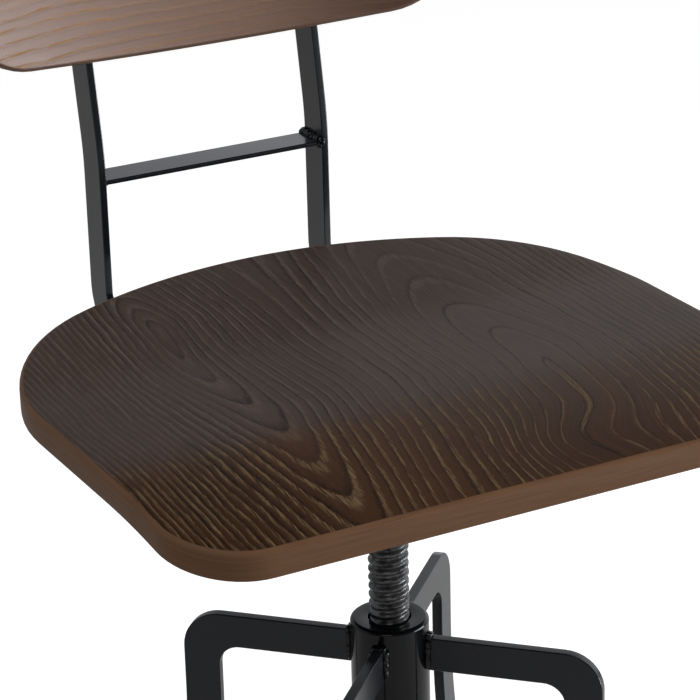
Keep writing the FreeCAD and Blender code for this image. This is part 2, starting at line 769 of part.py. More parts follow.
def make_seat_fasteners():
    """Bolts up through the plate, their washers, and the threaded inserts in the seat."""
    bolt = hex_bolt("seat_bolt", "seat_bolt_flats", "seat_bolt_head", "seat_bolt_diameter", "seat_bolt_reach")
    washer = turned("seat_washer", rectangle(
        "seat_bolt_diameter / 2 + bolt_play", "0", "seat_washer_diameter / 2", "seat_washer_thickness"))
    insert = turned("seat_insert", rectangle(
        "seat_bolt_diameter / 2 + push_fit", "0", "seat_insert_diameter / 2", "seat_insert_length"))
    for name, piece, height in (
            ("seat_bolts", bolt, "seat_washer_bottom"),
            ("seat_washers", washer, "seat_washer_bottom"),
            ("seat_inserts", insert, "seat_underside")):
        copies = []
        for x, y in seat_bolt_spots():
            copy = piece.Shape.copy()
            copy.Placement = FreeCAD.Placement(vector(x, f"swivel_y + {y}", height), FreeCAD.Rotation())
            copies.append(copy.Solids[0])
        group(name, copies)


def lean_frame():
    """The place and lean of the uprights' front edges at the height of the backrest's lower edge."""
    lean = FreeCAD.Rotation(FreeCAD.Vector(1, 0, 0), -value("upright_lean"))
    front = vector(
        "0", "swivel_y + upright_front + (back_low - upright_bend_height) * tan(upright_lean)", "back_low")
    return FreeCAD.Placement(front, lean)


def bracket_angle():
    """How far a tab turns to lie along the curved back of the backrest, in degrees."""
    return math.degrees(math.asin(value("bracket_x / back_outer_radius")))


def bracket_back():
    """How far the middle of a tab's back face lies behind the uprights' front edges."""
    reach = value("upright_x - bracket_x")
    half = value("upright_thickness / 2")
    return (reach - half) * math.tan(math.radians(bracket_angle())) - value("weld_gap")


def bracket_place(sign):
    """Where the middle of a tab's front face is, with Y pointing straight back out of the backrest."""
    turn = FreeCAD.Rotation(FreeCAD.Vector(0, 0, 1), -sign * bracket_angle())
    forward = turn.multVec(FreeCAD.Vector(0, -value("bracket_thickness"), 0))
    middle = FreeCAD.Vector(sign * value("bracket_x"), bracket_back(), value("bracket_low")) + forward
    return lean_frame().multiply(FreeCAD.Placement(middle, turn))


def curve_centre():
    """The backrest's axis of curvature, in the lean frame, so that its back lies against the tabs."""
    angle = math.radians(bracket_angle())
    radius = value("back_outer_radius + back_gap + bracket_thickness")
    return FreeCAD.Vector(0, bracket_back() - radius * math.cos(angle), 0)


def back_screw_places():
    """Each backrest screw's place: at a tab's front face, with Y pointing straight back."""
    places = []
    for sign in (-1, 1):
        for up in (-1, 1):
            spot = FreeCAD.Vector(
                -sign * value("bracket_hole_inset"), 0,
                value("bracket_height / 2") + up * value("bracket_hole_spacing / 2"))
            places.append(bracket_place(sign).multiply(FreeCAD.Placement(spot, FreeCAD.Rotation())))
    return places


def make_brackets():
    """Flat tabs on the front edges of the uprights, and the beads that hold them."""
    hole_x = {-1: "bracket_hole_inset", 1: "-bracket_hole_inset"}
    hole_radius = "back_screw_diameter / 2 + bolt_play"
    for side, sign in (("left", -1), ("right", 1)):
        name = f"bracket_{side}"
        holes = [
            (hole_x[sign], f"bracket_height / 2 + {up} * bracket_hole_spacing / 2", hole_radius)
            for up in (-1, 1)
        ]
        tab = plate(name, "XZ_Plane", rectangle(
            "-bracket_width / 2", "0", "bracket_width / 2", "bracket_height", "bracket_round"),
            "bracket_thickness", holes)
        middle = FreeCAD.Placement(FreeCAD.Vector(0, value("bracket_thickness / 2"), 0), FreeCAD.Rotation())
        keep(tab, name).Placement = bracket_place(sign).multiply(middle)
    size = value("bracket_weld_size")
    slope = math.tan(math.radians(bracket_angle()))
    beads = []
    for sign in (-1, 1):
        edge = value("rail_inner_x")
        points = [
            FreeCAD.Vector(sign * edge, 0, value("bracket_low + bracket_round")),
            FreeCAD.Vector(sign * (edge - size), size * slope, value("bracket_low + bracket_round")),
            FreeCAD.Vector(sign * edge, size + size * slope, value("bracket_low + bracket_round")),
        ]
        bead = prism(points, FreeCAD.Vector(0, 0, value("bracket_height - 2 * bracket_round")))
        bead.Placement = lean_frame()
        beads.append(bead)
    group("bracket_welds", beads)


def make_backrest():
    """The bent backrest: a strip turned about its axis of curvature, trimmed to its outline."""
    rest = new_body("backrest_board")
    strip = new_sketch(rest, "YZ_Plane", "backrest_strip")
    margin = "back_corner_round"
    draw_outline(strip, rectangle(
        "back_radius", f"-{margin}", "back_outer_radius", f"back_height + {margin}"))
    bend = rest.newObject("PartDesign::Revolution", "backrest_bend")
    bend.Profile = strip
    bend.ReferenceAxis = (strip, ["V_Axis"])
    bend.Midplane = True
    bend.setExpression("Angle", formula("2 * (asin(back_half_width / back_radius) / 1deg + leg_flare / 2)"))
    doc.recompute()
    trim = new_sketch(rest, "XZ_Plane", "backrest_front")
    draw_outline(trim, rectangle(
        "-2 * back_half_width", f"-2 * {margin}",
        "2 * back_half_width", f"back_height + 2 * {margin}"), "frame")
    draw_outline(trim, [
        ("0", "0", "back_low_round"),
        ("back_half_width", "back_low_corner_rise", "back_corner_round"),
        ("back_half_width", "back_height - back_top_corner_drop", "back_corner_round"),
        ("0", "back_height", "back_top_round"),
        ("-back_half_width", "back_height - back_top_corner_drop", "back_corner_round"),
        ("-back_half_width", "back_low_corner_rise", "back_corner_round"),
    ], "board")
    pocket(rest, trim, "4 * back_outer_radius")
    round_rim(rest, "back_edge_round", FreeCAD.Vector(0, 1, 0))
    rest.Placement = lean_frame().multiply(FreeCAD.Placement(curve_centre(), FreeCAD.Rotation()))
    drill_backrest(rest)


def drill_backrest(board):
    """Blind holes for the threaded inserts, square to the backrest's back at each screw."""
    holes = []
    forward = FreeCAD.Rotation(FreeCAD.Vector(1, 0, 0), 90)
    for i, place in enumerate(back_screw_places()):
        hole = doc.addObject("Part::Cylinder", f"back_insert_hole_{i}")
        hole.setExpression("Radius", formula("back_insert_diameter / 2 + push_fit"))
        hole.setExpression("Height", formula("back_insert_length + insert_end_gap + back_gap"))
        hole.Placement = place.multiply(FreeCAD.Placement(FreeCAD.Vector(0, 0, 0), forward))
        holes.append(hole)
    drill = doc.addObject("Part::MultiFuse", "back_insert_holes")
    drill.Shapes = holes
    rest = doc.addObject("Part::Cut", "backrest")
    rest.Base = board
    rest.Tool = drill
    doc.recompute()
    keep(rest, "backrest")


def make_back_fasteners():
    """Pan-head screws through the tabs, and the threaded inserts in the backrest."""
    screw = turned("back_screw", [
        ("0", "-back_screw_head", NO_ROUND),
        ("back_screw_head_diameter / 2", "-back_screw_head", "back_screw_head / 2"),
        ("back_screw_head_diameter / 2", "0", NO_ROUND),
        ("back_screw_diameter / 2", "0", NO_ROUND),
        ("back_screw_diameter / 2", "back_screw_reach", NO_ROUND),
        ("0", "back_screw_reach", NO_ROUND),
    ])
    insert = turned("back_insert", rectangle(
        "back_screw_diameter / 2 + push_fit", "0", "back_insert_diameter / 2", "back_insert_length"))
    forward = FreeCAD.Rotation(FreeCAD.Vector(1, 0, 0), 90)
    head = FreeCAD.Placement(FreeCAD.Vector(0, value("bracket_thickness"), 0), forward)
    sunk = FreeCAD.Placement(FreeCAD.Vector(0, -value("back_gap + insert_end_gap / 2"), 0), forward)
    for name, piece, offset in (("back_screws", screw, head), ("back_inserts", insert, sunk)):
        copies = []
        for place in back_screw_places():
            copy = piece.Shape.copy()
            copy.Placement = place.multiply(offset)
            copies.append(copy.Solids[0])
        group(name, copies)


def check_and_write():
    """Stop if anything failed, then write each piece to its own file."""
    doc.recompute()
    for obj in doc.Objects:
        if "Invalid" in obj.State or "Error" in obj.State:
            raise RuntimeError(f"{obj.Label} failed: {obj.State}")
    for node in nodes:
        if node.Shape.isNull() or not node.Shape.isValid() or not node.Shape.Solids:
            raise RuntimeError(f"{node.Label} has no valid solid")
    os.makedirs("parts", exist_ok=True)
    for node in nodes:
        node.Shape.exportStep(f"parts/{node.Label}.step")
        box = node.Shape.BoundBox
        print(f"{node.Label}: {len(node.Shape.Solids)} solid(s), {node.Shape.Volume:.1f} mm3, "
              f"z {box.ZMin:.1f} to {box.ZMax:.1f}")
    whole = Part.makeCompound([node.Shape for node in nodes]).BoundBox
    print(f"box x {whole.XMin:.1f} {whole.XMax:.1f}, y {whole.YMin:.1f} {whole.YMax:.1f}, "
          f"z {whole.ZMin:.1f} {whole.ZMax:.1f}")


make_hub()
for leg_side, leg_turn in LEG_TURNS.items():
    make_leg(leg_side, leg_turn)
    make_foot_cap(leg_side, leg_turn)
make_foot_ring()
make_base_welds()
make_screw()
make_stop()
make_seat_frame()
make_frame_welds()
make_seat()
make_seat_fasteners()
make_brackets()
make_backrest()
make_back_fasteners()
check_and_write()
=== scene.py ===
"""Looks of a bar chair with a bent plywood seat on a screw lift.

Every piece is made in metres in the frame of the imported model, sits at the origin with its place in its
mesh, and rides on one of the model's bodies.
"""

import logging
import math
from dataclasses import dataclass
from enum import Enum
from typing import Callable, Iterable, Optional, Sequence, Union

import bmesh
import bpy
from mathutils import Matrix, Vector


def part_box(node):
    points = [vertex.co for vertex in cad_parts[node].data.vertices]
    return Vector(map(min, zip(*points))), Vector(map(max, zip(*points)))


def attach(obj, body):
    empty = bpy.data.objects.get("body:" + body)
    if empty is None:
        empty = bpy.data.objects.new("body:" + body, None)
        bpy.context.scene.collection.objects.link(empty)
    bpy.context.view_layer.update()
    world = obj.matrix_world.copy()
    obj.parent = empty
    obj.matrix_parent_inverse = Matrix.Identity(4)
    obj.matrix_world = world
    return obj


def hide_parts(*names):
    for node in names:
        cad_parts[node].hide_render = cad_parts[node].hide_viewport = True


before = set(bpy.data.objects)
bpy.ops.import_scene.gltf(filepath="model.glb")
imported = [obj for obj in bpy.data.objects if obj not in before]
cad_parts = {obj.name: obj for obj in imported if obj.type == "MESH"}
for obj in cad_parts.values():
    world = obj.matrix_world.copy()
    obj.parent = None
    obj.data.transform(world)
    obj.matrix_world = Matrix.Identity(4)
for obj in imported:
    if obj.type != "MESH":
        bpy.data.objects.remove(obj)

LOG = logging.getLogger("bar_chair")
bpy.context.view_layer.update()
MM = 0.001
MERGE_DISTANCE = 0.002 * MM
FULL_TURN = 2 * math.pi
QUARTER_TURN = math.pi / 2

Socket = bpy.types.NodeSocket
Value = Union[float, Socket]
Colour = tuple[float, float, float]
Spot = tuple[float, float]
Stretch = tuple[float, float]
Reach = Union[float, Callable[[float], float]]


class Body(Enum):
    """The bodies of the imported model."""

    BASE = "base"
    STOP = "stop"
    SEAT = "seat_unit"


class Slot(Enum):
    """The record's material slots, passed along with the pieces made here but not read by the code."""

    STEEL = "black_steel"
    SEAT_WOOD = "seat_wood"
    BACK_WOOD = "back_wood"
    SCREW = "screw_steel"
    ZINC = "zinc_steel"
    BLACK_SCREW = "black_screws"
    PLASTIC = "black_plastic"


class Graph:
    """Adds nodes to one node tree and links them."""

    def __init__(self, tree: bpy.types.NodeTree) -> None:
        """Keep the tree.

        Args:
            tree: The material's, world's or group's node tree.
        """
        self.tree = tree

    def node(self, kind: str, **settings: object) -> bpy.types.Node:
        """Add one node.

        Args:
            kind: The node's type name.
            settings: Properties to set on it.

        Returns:
            The new node.
        """
        made = self.tree.nodes.new(kind)
        for name, setting in settings.items():
            setattr(made, name, setting)
        return made

    def feed(self, socket: Socket, value: object) -> None:
        """Link a socket to another, or set its own value.

        Args:
            socket: The input to feed.
            value: An output socket, a number or a colour.
        """
        if isinstance(value, bpy.types.NodeSocket):
            self.tree.links.new(value, socket)
        else:
            socket.default_value = value

    def math(self, operation: str, *values: Value) -> Socket:
        """One math node.

        Args:
            operation: Blender's name of the operation.
            values: Its operands.

        Returns:
            The result.
        """
        made = self.node("ShaderNodeMath", operation=operation)
        for socket, value in zip(made.inputs, values):
            self.feed(socket, value)
        return made.outputs[0]

    def vector(self, x: Value, y: Value, z: Value) -> Socket:
        """Three numbers as one vector.

        Args:
            x: The first number.
            y: The second number.
            z: The third number.

        Returns:
            The vector.
        """
        made = self.node("ShaderNodeCombineXYZ")
        for socket, value in zip(made.inputs, (x, y, z)):
            self.feed(socket, value)
        return made.outputs[0]

    def noise(self, vector: Socket, scale: float, detail: float = 2.0, roughness: float = 0.5) -> Socket:
        """A noise pattern.

        Args:
            vector: Where it is read.
            scale: Its scale.
            detail: How many finer layers it has.
            roughness: How strong the finer layers are.

        Returns:
            Its value, about 0.5 in the middle.
        """
        made = self.node("ShaderNodeTexNoise")
        self.feed(made.inputs["Vector"], vector)
        made.inputs["Scale"].default_value = scale
        made.inputs["Detail"].default_value = detail
        made.inputs["Roughness"].default_value = roughness
        return made.outputs["Fac"]

    def span(self, value: Value, low: float, high: float, start: float = 0.0, end: float = 1.0) -> Socket:
        """Map a value's stretch from low to high smoothly onto start to end.

        Args:
            value: What is mapped.
            low: Where the stretch starts.
            high: Where it ends.
            start: The result at low and below.
            end: The result at high and above.

        Returns:
            The mapped value.
        """
        made = self.node("ShaderNodeMapRange", interpolation_type="SMOOTHSTEP")
        for socket, number in zip(made.inputs, (value, low, high, start, end)):
            self.feed(socket, number)
        return made.outputs[0]

    def mix(self, share: Value, first: object, second: object) -> Socket:
        """Mix two colours.

        Args:
            share: How much of the second one.
            first: A colour or an output socket.
            second: A colour or an output socket.

        Returns:
            The mixed colour.
        """
        made = self.node("ShaderNodeMix", data_type="RGBA")
        self.feed(made.inputs[0], share)
        self.feed(made.inputs[6], rgba(first))
        self.feed(made.inputs[7], rgba(second))
        return made.outputs[2]

    def scaled(self, colour: Colour, share: Socket) -> Socket:
        """A colour times a value that may be above 1.

        Args:
            colour: The colour.
            share: The value.

        Returns:
            The brighter or darker colour.
        """
        made = self.node("ShaderNodeVectorMath", operation="SCALE")
        made.inputs[0].default_value = colour
        self.feed(made.inputs["Scale"], share)
        return made.outputs[0]

    def object_place(self) -> Socket:
        """Object coordinates, which are the model's frame in metres."""
        return self.node("ShaderNodeTexCoord").outputs["Object"]

    def attribute(self, name: str) -> Socket:
        """A number that the mesh carries."""
        return self.node("ShaderNodeAttribute", attribute_name=name).outputs["Fac"]

    def bump(self, height: Socket, distance: float, strength: float = 1.0,
             after: Optional[Socket] = None) -> Socket:
        """Turn a height pattern into a normal.

        Args:
            height: The pattern, from 0 to 1.
            distance: How far 1 stands above 0, in metres.
            strength: How strongly it shows.
            after: A normal to build on.

        Returns:
            The bent normal.
        """
        made = self.node("ShaderNodeBump")
        made.inputs["Strength"].default_value = strength
        made.inputs["Distance"].default_value = distance
        self.feed(made.inputs["Height"], height)
        if after is not None:
            self.feed(made.inputs["Normal"], after)
        return made.outputs[0]


def rgba(colour: object) -> object:
    """Give a plain colour its fourth number, and leave a socket alone.

    Args:
        colour: A colour of three numbers, or an output socket.

    Returns:
        The colour with an alpha of 1, or the same socket.
    """
    if isinstance(colour, bpy.types.NodeSocket):
        return colour
    return (*colour, 1.0)


def new_group(
        name: str, inputs: dict[str, float], outputs: Iterable[str]) -> tuple[Graph, dict[str, Socket]]:
    """Start a shader node group of plain numbers.

    Args:
        name: The group's name.
        inputs: Each input's name and starting value.
        outputs: The outputs' names.

    Returns:
        Its graph, and its inputs by name, ready to link.
    """
    tree = bpy.data.node_groups.new(name, "ShaderNodeTree")
    for title, start in inputs.items():
        socket = tree.interface.new_socket(title, in_out="INPUT", socket_type="NodeSocketFloat")
        socket.default_value = start
    for title in outputs:
        tree.interface.new_socket(title, in_out="OUTPUT", socket_type="NodeSocketFloat")
    graph = Graph(tree)
    entry = graph.node("NodeGroupInput")
    return graph, {socket.name: socket for socket in entry.outputs if socket.name}


def close_group(graph: Graph, outputs: dict[str, Socket]) -> bpy.types.NodeTree:
    """Link a group's results to its outputs.

    Args:
        graph: The group's graph.
        outputs: Each output's name and what feeds it.

    Returns:
        The finished group.
    """
    leave = graph.node("NodeGroupOutput")
    for title, socket in outputs.items():
        graph.feed(leave.inputs[title], socket)
    return graph.tree


@dataclass(frozen=True)
class Heart:
    """One heart of a veneer: its place, how steeply it dives under the face and its rings' spacing.

    The rings close in arches where the heart dives, towards the fore or the rear end of the grain.
    Crowding narrows the rings away from the heart, and slant narrows them on one side of it only.
    """

    across: float
    along: float
    fore_dive: float
    rear_dive: float
    spacing: float
    crowding: float = 0.0
    slant: float = 0.0


@dataclass(frozen=True)
class Figure:
    """The figure of a veneer: two hearts, the line where their rings meet, and its lean and swirl."""

    hearts: tuple[Heart, Heart]
    join: float
    join_half: float
    join_count: float
    sway: float
    lean: float = 0.0
    lean_from: float = 0.0
    lean_across: float = 0.0
    swirl_across: float = 0.0
    swirl_along: float = 0.0
    swirl_push: float = 0.0

    def inputs(self) -> dict[str, float]:
        """The figure as the named inputs of the grain's node group.

        Returns:
            Each input's name and value.
        """
        numbers = {
            "Join": self.join, "Join Half": self.join_half, "Join Count": self.join_count,
            "Sway": self.sway, "Lean": self.lean, "Lean From": self.lean_from,
            "Lean Across": self.lean_across, "Swirl Across": self.swirl_across,
            "Swirl Along": self.swirl_along, "Swirl Push": self.swirl_push}
        for title, heart in zip("AB", self.hearts):
            numbers |= {
                f"{title} Across": heart.across, f"{title} Along": heart.along,
                f"{title} Fore Dive": -heart.fore_dive, f"{title} Rear Dive": heart.rear_dive,
                f"{title} Spacing": heart.spacing, f"{title} Crowding": heart.crowding,
                f"{title} Slant": -heart.slant}
        return numbers


SEAT_FIGURE = Figure(
    (Heart(-0.103, 0.06, 0.13, 0.35, 5.55 * MM, slant=1.5),
     Heart(0.088, -0.115, 0.03, 0.22, 17.0 * MM, crowding=12.0)),
    join=0.0, join_half=0.035, join_count=25.15, sway=0.03, lean=0.12, lean_from=-0.08, lean_across=-0.095,
    swirl_across=0.052, swirl_along=-0.2, swirl_push=0.02)
BACK_FIGURE = Figure(
    (Heart(0.83, 0.1, 0.05, 0.05, 6.8 * MM), Heart(1.02, 0.2, 0.07, 0.0, 9.0 * MM, crowding=3.0)),
    join=0.9, join_half=0.03, join_count=28.4, sway=0.015)


@dataclass(frozen=True)
class NoiseScale:
    """How fine a noise is across and along the grain, its finer layers and where it is read."""

    across: float
    along: float
    layers: float
    shift: float = 0.0


@dataclass
class GrainGroup:
    """Growth rings and pores of a flat-sawn ash veneer, as one shader node group.

    The grain runs along the second coordinate. The pores are short dashes in the spring band of each ring,
    beside the dark line of the late wood. Densities are in rings a metre, and shares run from 0 to 1.
    """

    swirl_wide: float = 42.0 * MM
    swirl_long: float = 26.0 * MM
    lean_half: float = 35.0 * MM
    quick_sway: float = 8.0 * MM
    end_sway: float = 35.0 * MM
    ragged_reach: float = 2.4 * MM
    late_wide: float = 2.2 * MM
    late_ragged: float = 1.1
    late_fade: float = 0.97
    pore_wide: float = 2.5 * MM
    pore_start: float = 0.12
    pore_fade: float = 0.4
    slow_noise: NoiseScale = NoiseScale(5.0, 5.0, 1.0)
    quick_noise: NoiseScale = NoiseScale(26.0, 13.0, 2.0, 7.0)
    end_noise: NoiseScale = NoiseScale(14.0, 6.0, 1.0, 3.0)
    patch_noise: NoiseScale = NoiseScale(30.0, 9.0, 1.0, 11.0)
    ragged_noise: NoiseScale = NoiseScale(620.0, 240.0, 2.0, 5.0)
    streak_noise: NoiseScale = NoiseScale(800.0, 9.0, 2.0, 17.0)
    fibre_noise: NoiseScale = NoiseScale(1900.0, 62.0, 3.0)
    patch_stretch: Stretch = (0.25, 0.55)
    patch_least: float = 0.6
    ring_least: float = 0.65
    packed_density: Stretch = (180.0, 212.0)
    packed_narrowing: float = 0.6
    packed_gain: float = 0.15
    roomy_density: Stretch = (95.0, 130.0)
    roomy_thinning: float = 0.25
    streak_stretch: Stretch = (0.3, 0.55)
    streak_least: float = 0.55
    dash_stretch: Stretch = (0.44, 0.56)
    stray_stretch: Stretch = (0.64, 0.76)
    stray_share: float = 0.3

    def __post_init__(self) -> None:
        """Start the group with the coordinates and the figure as inputs."""
        places = {"Across": 0.0, "Along": 0.0, "Depth": 0.0}
        outputs = ("Ring", "Pore", "Tone", "Packed")
        self.graph, self.entry = new_group("ash_grain", places | SEAT_FIGURE.inputs(), outputs)

    def stretched(self, across: Socket, scale: NoiseScale) -> Socket:
        """A noise with its own scale across and along the grain.

        Args:
            across: The coordinate across the grain.
            scale: The noise's scales, layers and shift.

        Returns:
            The noise.
        """
        graph = self.graph
        return graph.noise(graph.vector(
            graph.math("MULTIPLY_ADD", across, scale.across, scale.shift),
            graph.math("MULTIPLY", self.entry["Along"], scale.along),
            self.entry["Depth"]), 1.0, scale.layers)

    def centred(self, noise: Socket, reach: Value) -> Socket:
        """A noise about zero, with the given reach."""
        return self.graph.math("MULTIPLY", self.graph.math("SUBTRACT", noise, 0.5), reach)

    def product(self, *values: Value) -> Socket:
        """Several values multiplied.

        Args:
            values: The values.

        Returns:
            Their product.
        """
        result = values[0]
        for value in values[1:]:
            result = self.graph.math("MULTIPLY", result, value)
        return result

    def blend(self, share: Socket, first: Socket, second: Socket) -> Socket:
        """A value between two others, at a share of the way."""
        return self.graph.math("MULTIPLY_ADD", share, self.graph.math("SUBTRACT", second, first), first)

    def bent_across(self, slow: Socket) -> Socket:
        """The coordinate across the grain after it has swayed, leant and swirled.

        Args:
            slow: A slow noise.

        Returns:
            The bent coordinate.
        """
        graph, entry = self.graph, self.entry
        across, along = entry["Across"], entry["Along"]
        bent = graph.math("ADD", across, self.centred(slow, entry["Sway"]))
        quick = self.stretched(across, self.quick_noise)
        bent = graph.math("ADD", bent, self.centred(quick, self.quick_sway))
        past = graph.math("MAXIMUM", graph.math("SUBTRACT", entry["Lean From"], along), 0.0)
        aside = graph.math("SUBTRACT", across, entry["Lean Across"])
        beside = graph.span(aside, -self.lean_half, self.lean_half)
        bent = graph.math("MULTIPLY_ADD", self.product(past, beside), entry["Lean"], bent)
        wide = graph.math("DIVIDE", graph.math("SUBTRACT", across, entry["Swirl Across"]), self.swirl_wide)
        long = graph.math("DIVIDE", graph.math("SUBTRACT", along, entry["Swirl Along"]), self.swirl_long)
        far = graph.math("ADD", self.product(wide, wide), self.product(long, long))
        fading = graph.math("EXPONENT", graph.math("MULTIPLY", far, -1.0))
        return graph.math("MULTIPLY_ADD", fading, entry["Swirl Push"], bent)

    def ring_count(self, title: str, bent: Socket, along: Socket) -> tuple[Socket, Socket]:
        """How many rings lie between a heart and each point.

        Args:
            title: The heart's letter.
            bent: The bent coordinate across the grain.
            along: The swayed coordinate along the grain.

        Returns:
            The count, and how many rings go to a metre there.
        """
        graph = self.graph
        heart = {name[2:]: socket for name, socket in self.entry.items() if name.startswith(f"{title} ")}
        run = graph.math("SUBTRACT", along, heart["Along"])
        dive = graph.math(
            "MAXIMUM", self.product(run, heart["Fore Dive"]), self.product(run, heart["Rear Dive"]))
        side = graph.math("SUBTRACT", bent, heart["Across"])
        reach = graph.math("SQRT", graph.math("ADD", self.product(side, side), self.product(dive, dive)))
        extra = graph.math(
            "ADD", self.product(reach, heart["Crowding"]), self.product(side, heart["Slant"]))
        even_count = graph.math("DIVIDE", reach, heart["Spacing"])
        count = self.product(even_count, graph.math("ADD", extra, 1.0))
        density = graph.math("DIVIDE", graph.math("MULTIPLY_ADD", extra, 2.0, 1.0), heart["Spacing"])
        return count, density

    def rings(self, bent: Socket) -> tuple[Socket, Socket]:
        """The rings of both hearts, joined where they meet.

        Args:
            bent: The bent coordinate across the grain.

        Returns:
            The count of rings, and how many go to a metre.
        """
        graph, entry = self.graph, self.entry
        along = graph.math("ADD", entry["Along"], self.centred(
            self.stretched(entry["Across"], self.end_noise), self.end_sway))
        first, first_density = self.ring_count("A", bent, along)
        second, second_density = self.ring_count("B", bent, along)
        second = graph.math("SUBTRACT", entry["Join Count"], second)
        past_join = graph.math("DIVIDE", graph.math("SUBTRACT", bent, entry["Join"]), entry["Join Half"])
        passed = graph.span(past_join, -1.0, 1.0)
        return self.blend(passed, first, second), self.blend(passed, first_density, second_density)

    def vividness(self, bent: Socket, count: Socket) -> Socket:
        """How strongly each ring shows, from ring to ring and from place to place.

        Args:
            bent: The bent coordinate across the grain.
            count: The count of rings.

        Returns:
            The strength.
        """
        graph = self.graph
        ring_tone = graph.node("ShaderNodeTexWhiteNoise", noise_dimensions="1D")
        graph.feed(ring_tone.inputs["W"], graph.math("FLOOR", count))
        patches = self.stretched(bent, self.patch_noise)
        patchy = graph.span(patches, *self.patch_stretch, self.patch_least, 1.0)
        return self.product(graph.span(ring_tone.outputs["Value"], 0.0, 1.0, self.ring_least, 1.0), patchy)

    def build(self) -> bpy.types.NodeTree:
        """Make the group.

        Returns:
            The group, with outputs for the late wood, the pores, the slow change of tone and narrow rings.
        """
        graph, entry = self.graph, self.entry
        slow = self.stretched(entry["Across"], self.slow_noise)
        bent = self.bent_across(slow)
        count, density = self.rings(bent)
        share = graph.math("FRACT", count)
        vivid = self.vividness(bent, count)
        packed = graph.span(density, *self.packed_density)
        roomy = graph.span(density, *self.roomy_density, 1.0, 0.0)
        ragged = self.centred(self.stretched(bent, self.ragged_noise), self.ragged_reach)
        narrowed = graph.math("MULTIPLY_ADD", packed, self.packed_narrowing, 1.0)
        unused = graph.math("SUBTRACT", 1.0, share)
        left_over = graph.math("DIVIDE", unused, self.product(density, narrowed))
        left_over = graph.math("MULTIPLY_ADD", ragged, self.late_ragged, left_over)
        late = self.product(graph.span(left_over, 0.0, self.late_wide, 1.0, 0.0),
                            graph.span(share, self.late_fade, 1.0, 1.0, 0.0))
        streak = self.stretched(bent, self.streak_noise)
        broken = self.product(graph.math("MULTIPLY_ADD", packed, self.packed_gain, 1.0 - self.packed_gain),
                              graph.span(streak, *self.streak_stretch, self.streak_least, 1.0))
        late = self.product(late, vivid, graph.math("MAXIMUM", broken, roomy))
        gone = graph.math("ADD", graph.math("DIVIDE", share, density), ragged)
        spring = self.product(graph.span(gone, 0.0, self.pore_start * self.pore_wide),
                              graph.span(gone, self.pore_fade * self.pore_wide, self.pore_wide, 1.0, 0.0))
        fibre = self.stretched(bent, self.fibre_noise)
        stray = self.product(graph.span(fibre, *self.stray_stretch), self.stray_share)
        thinned = graph.math("MULTIPLY_ADD", roomy, -self.roomy_thinning, 1.0)
        dashes = self.product(graph.span(fibre, *self.dash_stretch), thinned, spring, vivid)
        pore = graph.math("MAXIMUM", dashes, stray)
        tone = graph.math("MULTIPLY_ADD", streak, 0.5, self.product(slow, 0.5))
        return close_group(graph, {"Ring": late, "Pore": pore, "Tone": tone, "Packed": packed})


def scuff_group() -> bpy.types.NodeTree:
    """Handling marks: soft smears and a fine dimple, for coats, plastic and metal alike.

    Returns:
        The group, with outputs for smears and dimples.
    """
    graph, entry = new_group("handling_marks", {
        "X": 0.0, "Y": 0.0, "Z": 0.0, "Smear Scale": 9.0, "Dimple Scale": 900.0}, ("Smear", "Dimple"))
    layers = {"Smear": 4.0, "Dimple": 1.0}
    place = graph.vector(entry["X"], entry["Y"], entry["Z"])
    marks = {}
    for title, detail in layers.items():
        scale = graph.node("ShaderNodeVectorMath", operation="SCALE")
        graph.feed(scale.inputs[0], place)
        graph.feed(scale.inputs["Scale"], entry[f"{title} Scale"])
        marks[title] = graph.noise(scale.outputs[0], 1.0, detail)
    return close_group(graph, marks)


GRAIN = GrainGroup().build()
SCUFFS = scuff_group()


def new_material(name: str) -> tuple[bpy.types.Material, Graph, bpy.types.Node]:
    """Start a material with one main shader.

    Args:
        name: The material's name.

    Returns:
        The material, its graph and its main shader.
    """
    material = bpy.data.materials.new(name)
    material.use_nodes = True
    graph = Graph(material.node_tree)
    return material, graph, material.node_tree.nodes["Principled BSDF"]


def add_scuffs(graph: Graph, smear_scale: float, dimple_scale: float) -> tuple[Socket, Socket]:
    """Place the handling marks in a material.

    Args:
        graph: The material's graph.
        smear_scale: How many smears a metre.
        dimple_scale: How many dimples a metre.

    Returns:
        The smears and the dimples.
    """
    made = graph.node("ShaderNodeGroup", node_tree=SCUFFS)
    parts = graph.node("ShaderNodeSeparateXYZ")
    graph.feed(parts.inputs[0], graph.object_place())
    for title, socket in zip("XYZ", parts.outputs):
        graph.feed(made.inputs[title], socket)
    made.inputs["Smear Scale"].default_value = smear_scale
    made.inputs["Dimple Scale"].default_value = dimple_scale
    return made.outputs["Smear"], made.outputs["Dimple"]


@dataclass(frozen=True)
class Coat:
    """A paint, plastic or metal surface with smears and a fine dimple."""

    name: str
    colour: Colour
    smeared: Colour
    smooth: float
    rough: float
    metallic: float = 0.0
    smear_scale: float = 9.0
    dimple_scale: float = 900.0
    dimple_depth: float = 0.02 * MM
    specular: float = 0.5
    worn_stretch: Stretch = (0.42, 0.68)
    rough_stretch: Stretch = (0.35, 0.7)

    def material(self) -> bpy.types.Material:
        """Build the material.

        Returns:
            The finished material.
        """
        material, graph, shader = new_material(self.name)
        smear, dimple = add_scuffs(graph, self.smear_scale, self.dimple_scale)
        worn = graph.span(smear, *self.worn_stretch)
        graph.feed(shader.inputs["Base Color"], graph.mix(worn, self.colour, self.smeared))
        roughness = graph.span(smear, *self.rough_stretch, self.smooth, self.rough)
        graph.feed(shader.inputs["Roughness"], roughness)
        shader.inputs["Metallic"].default_value = self.metallic
        shader.inputs["Specular IOR Level"].default_value = self.specular
        graph.feed(shader.inputs["Normal"], graph.bump(dimple, self.dimple_depth))
        return material


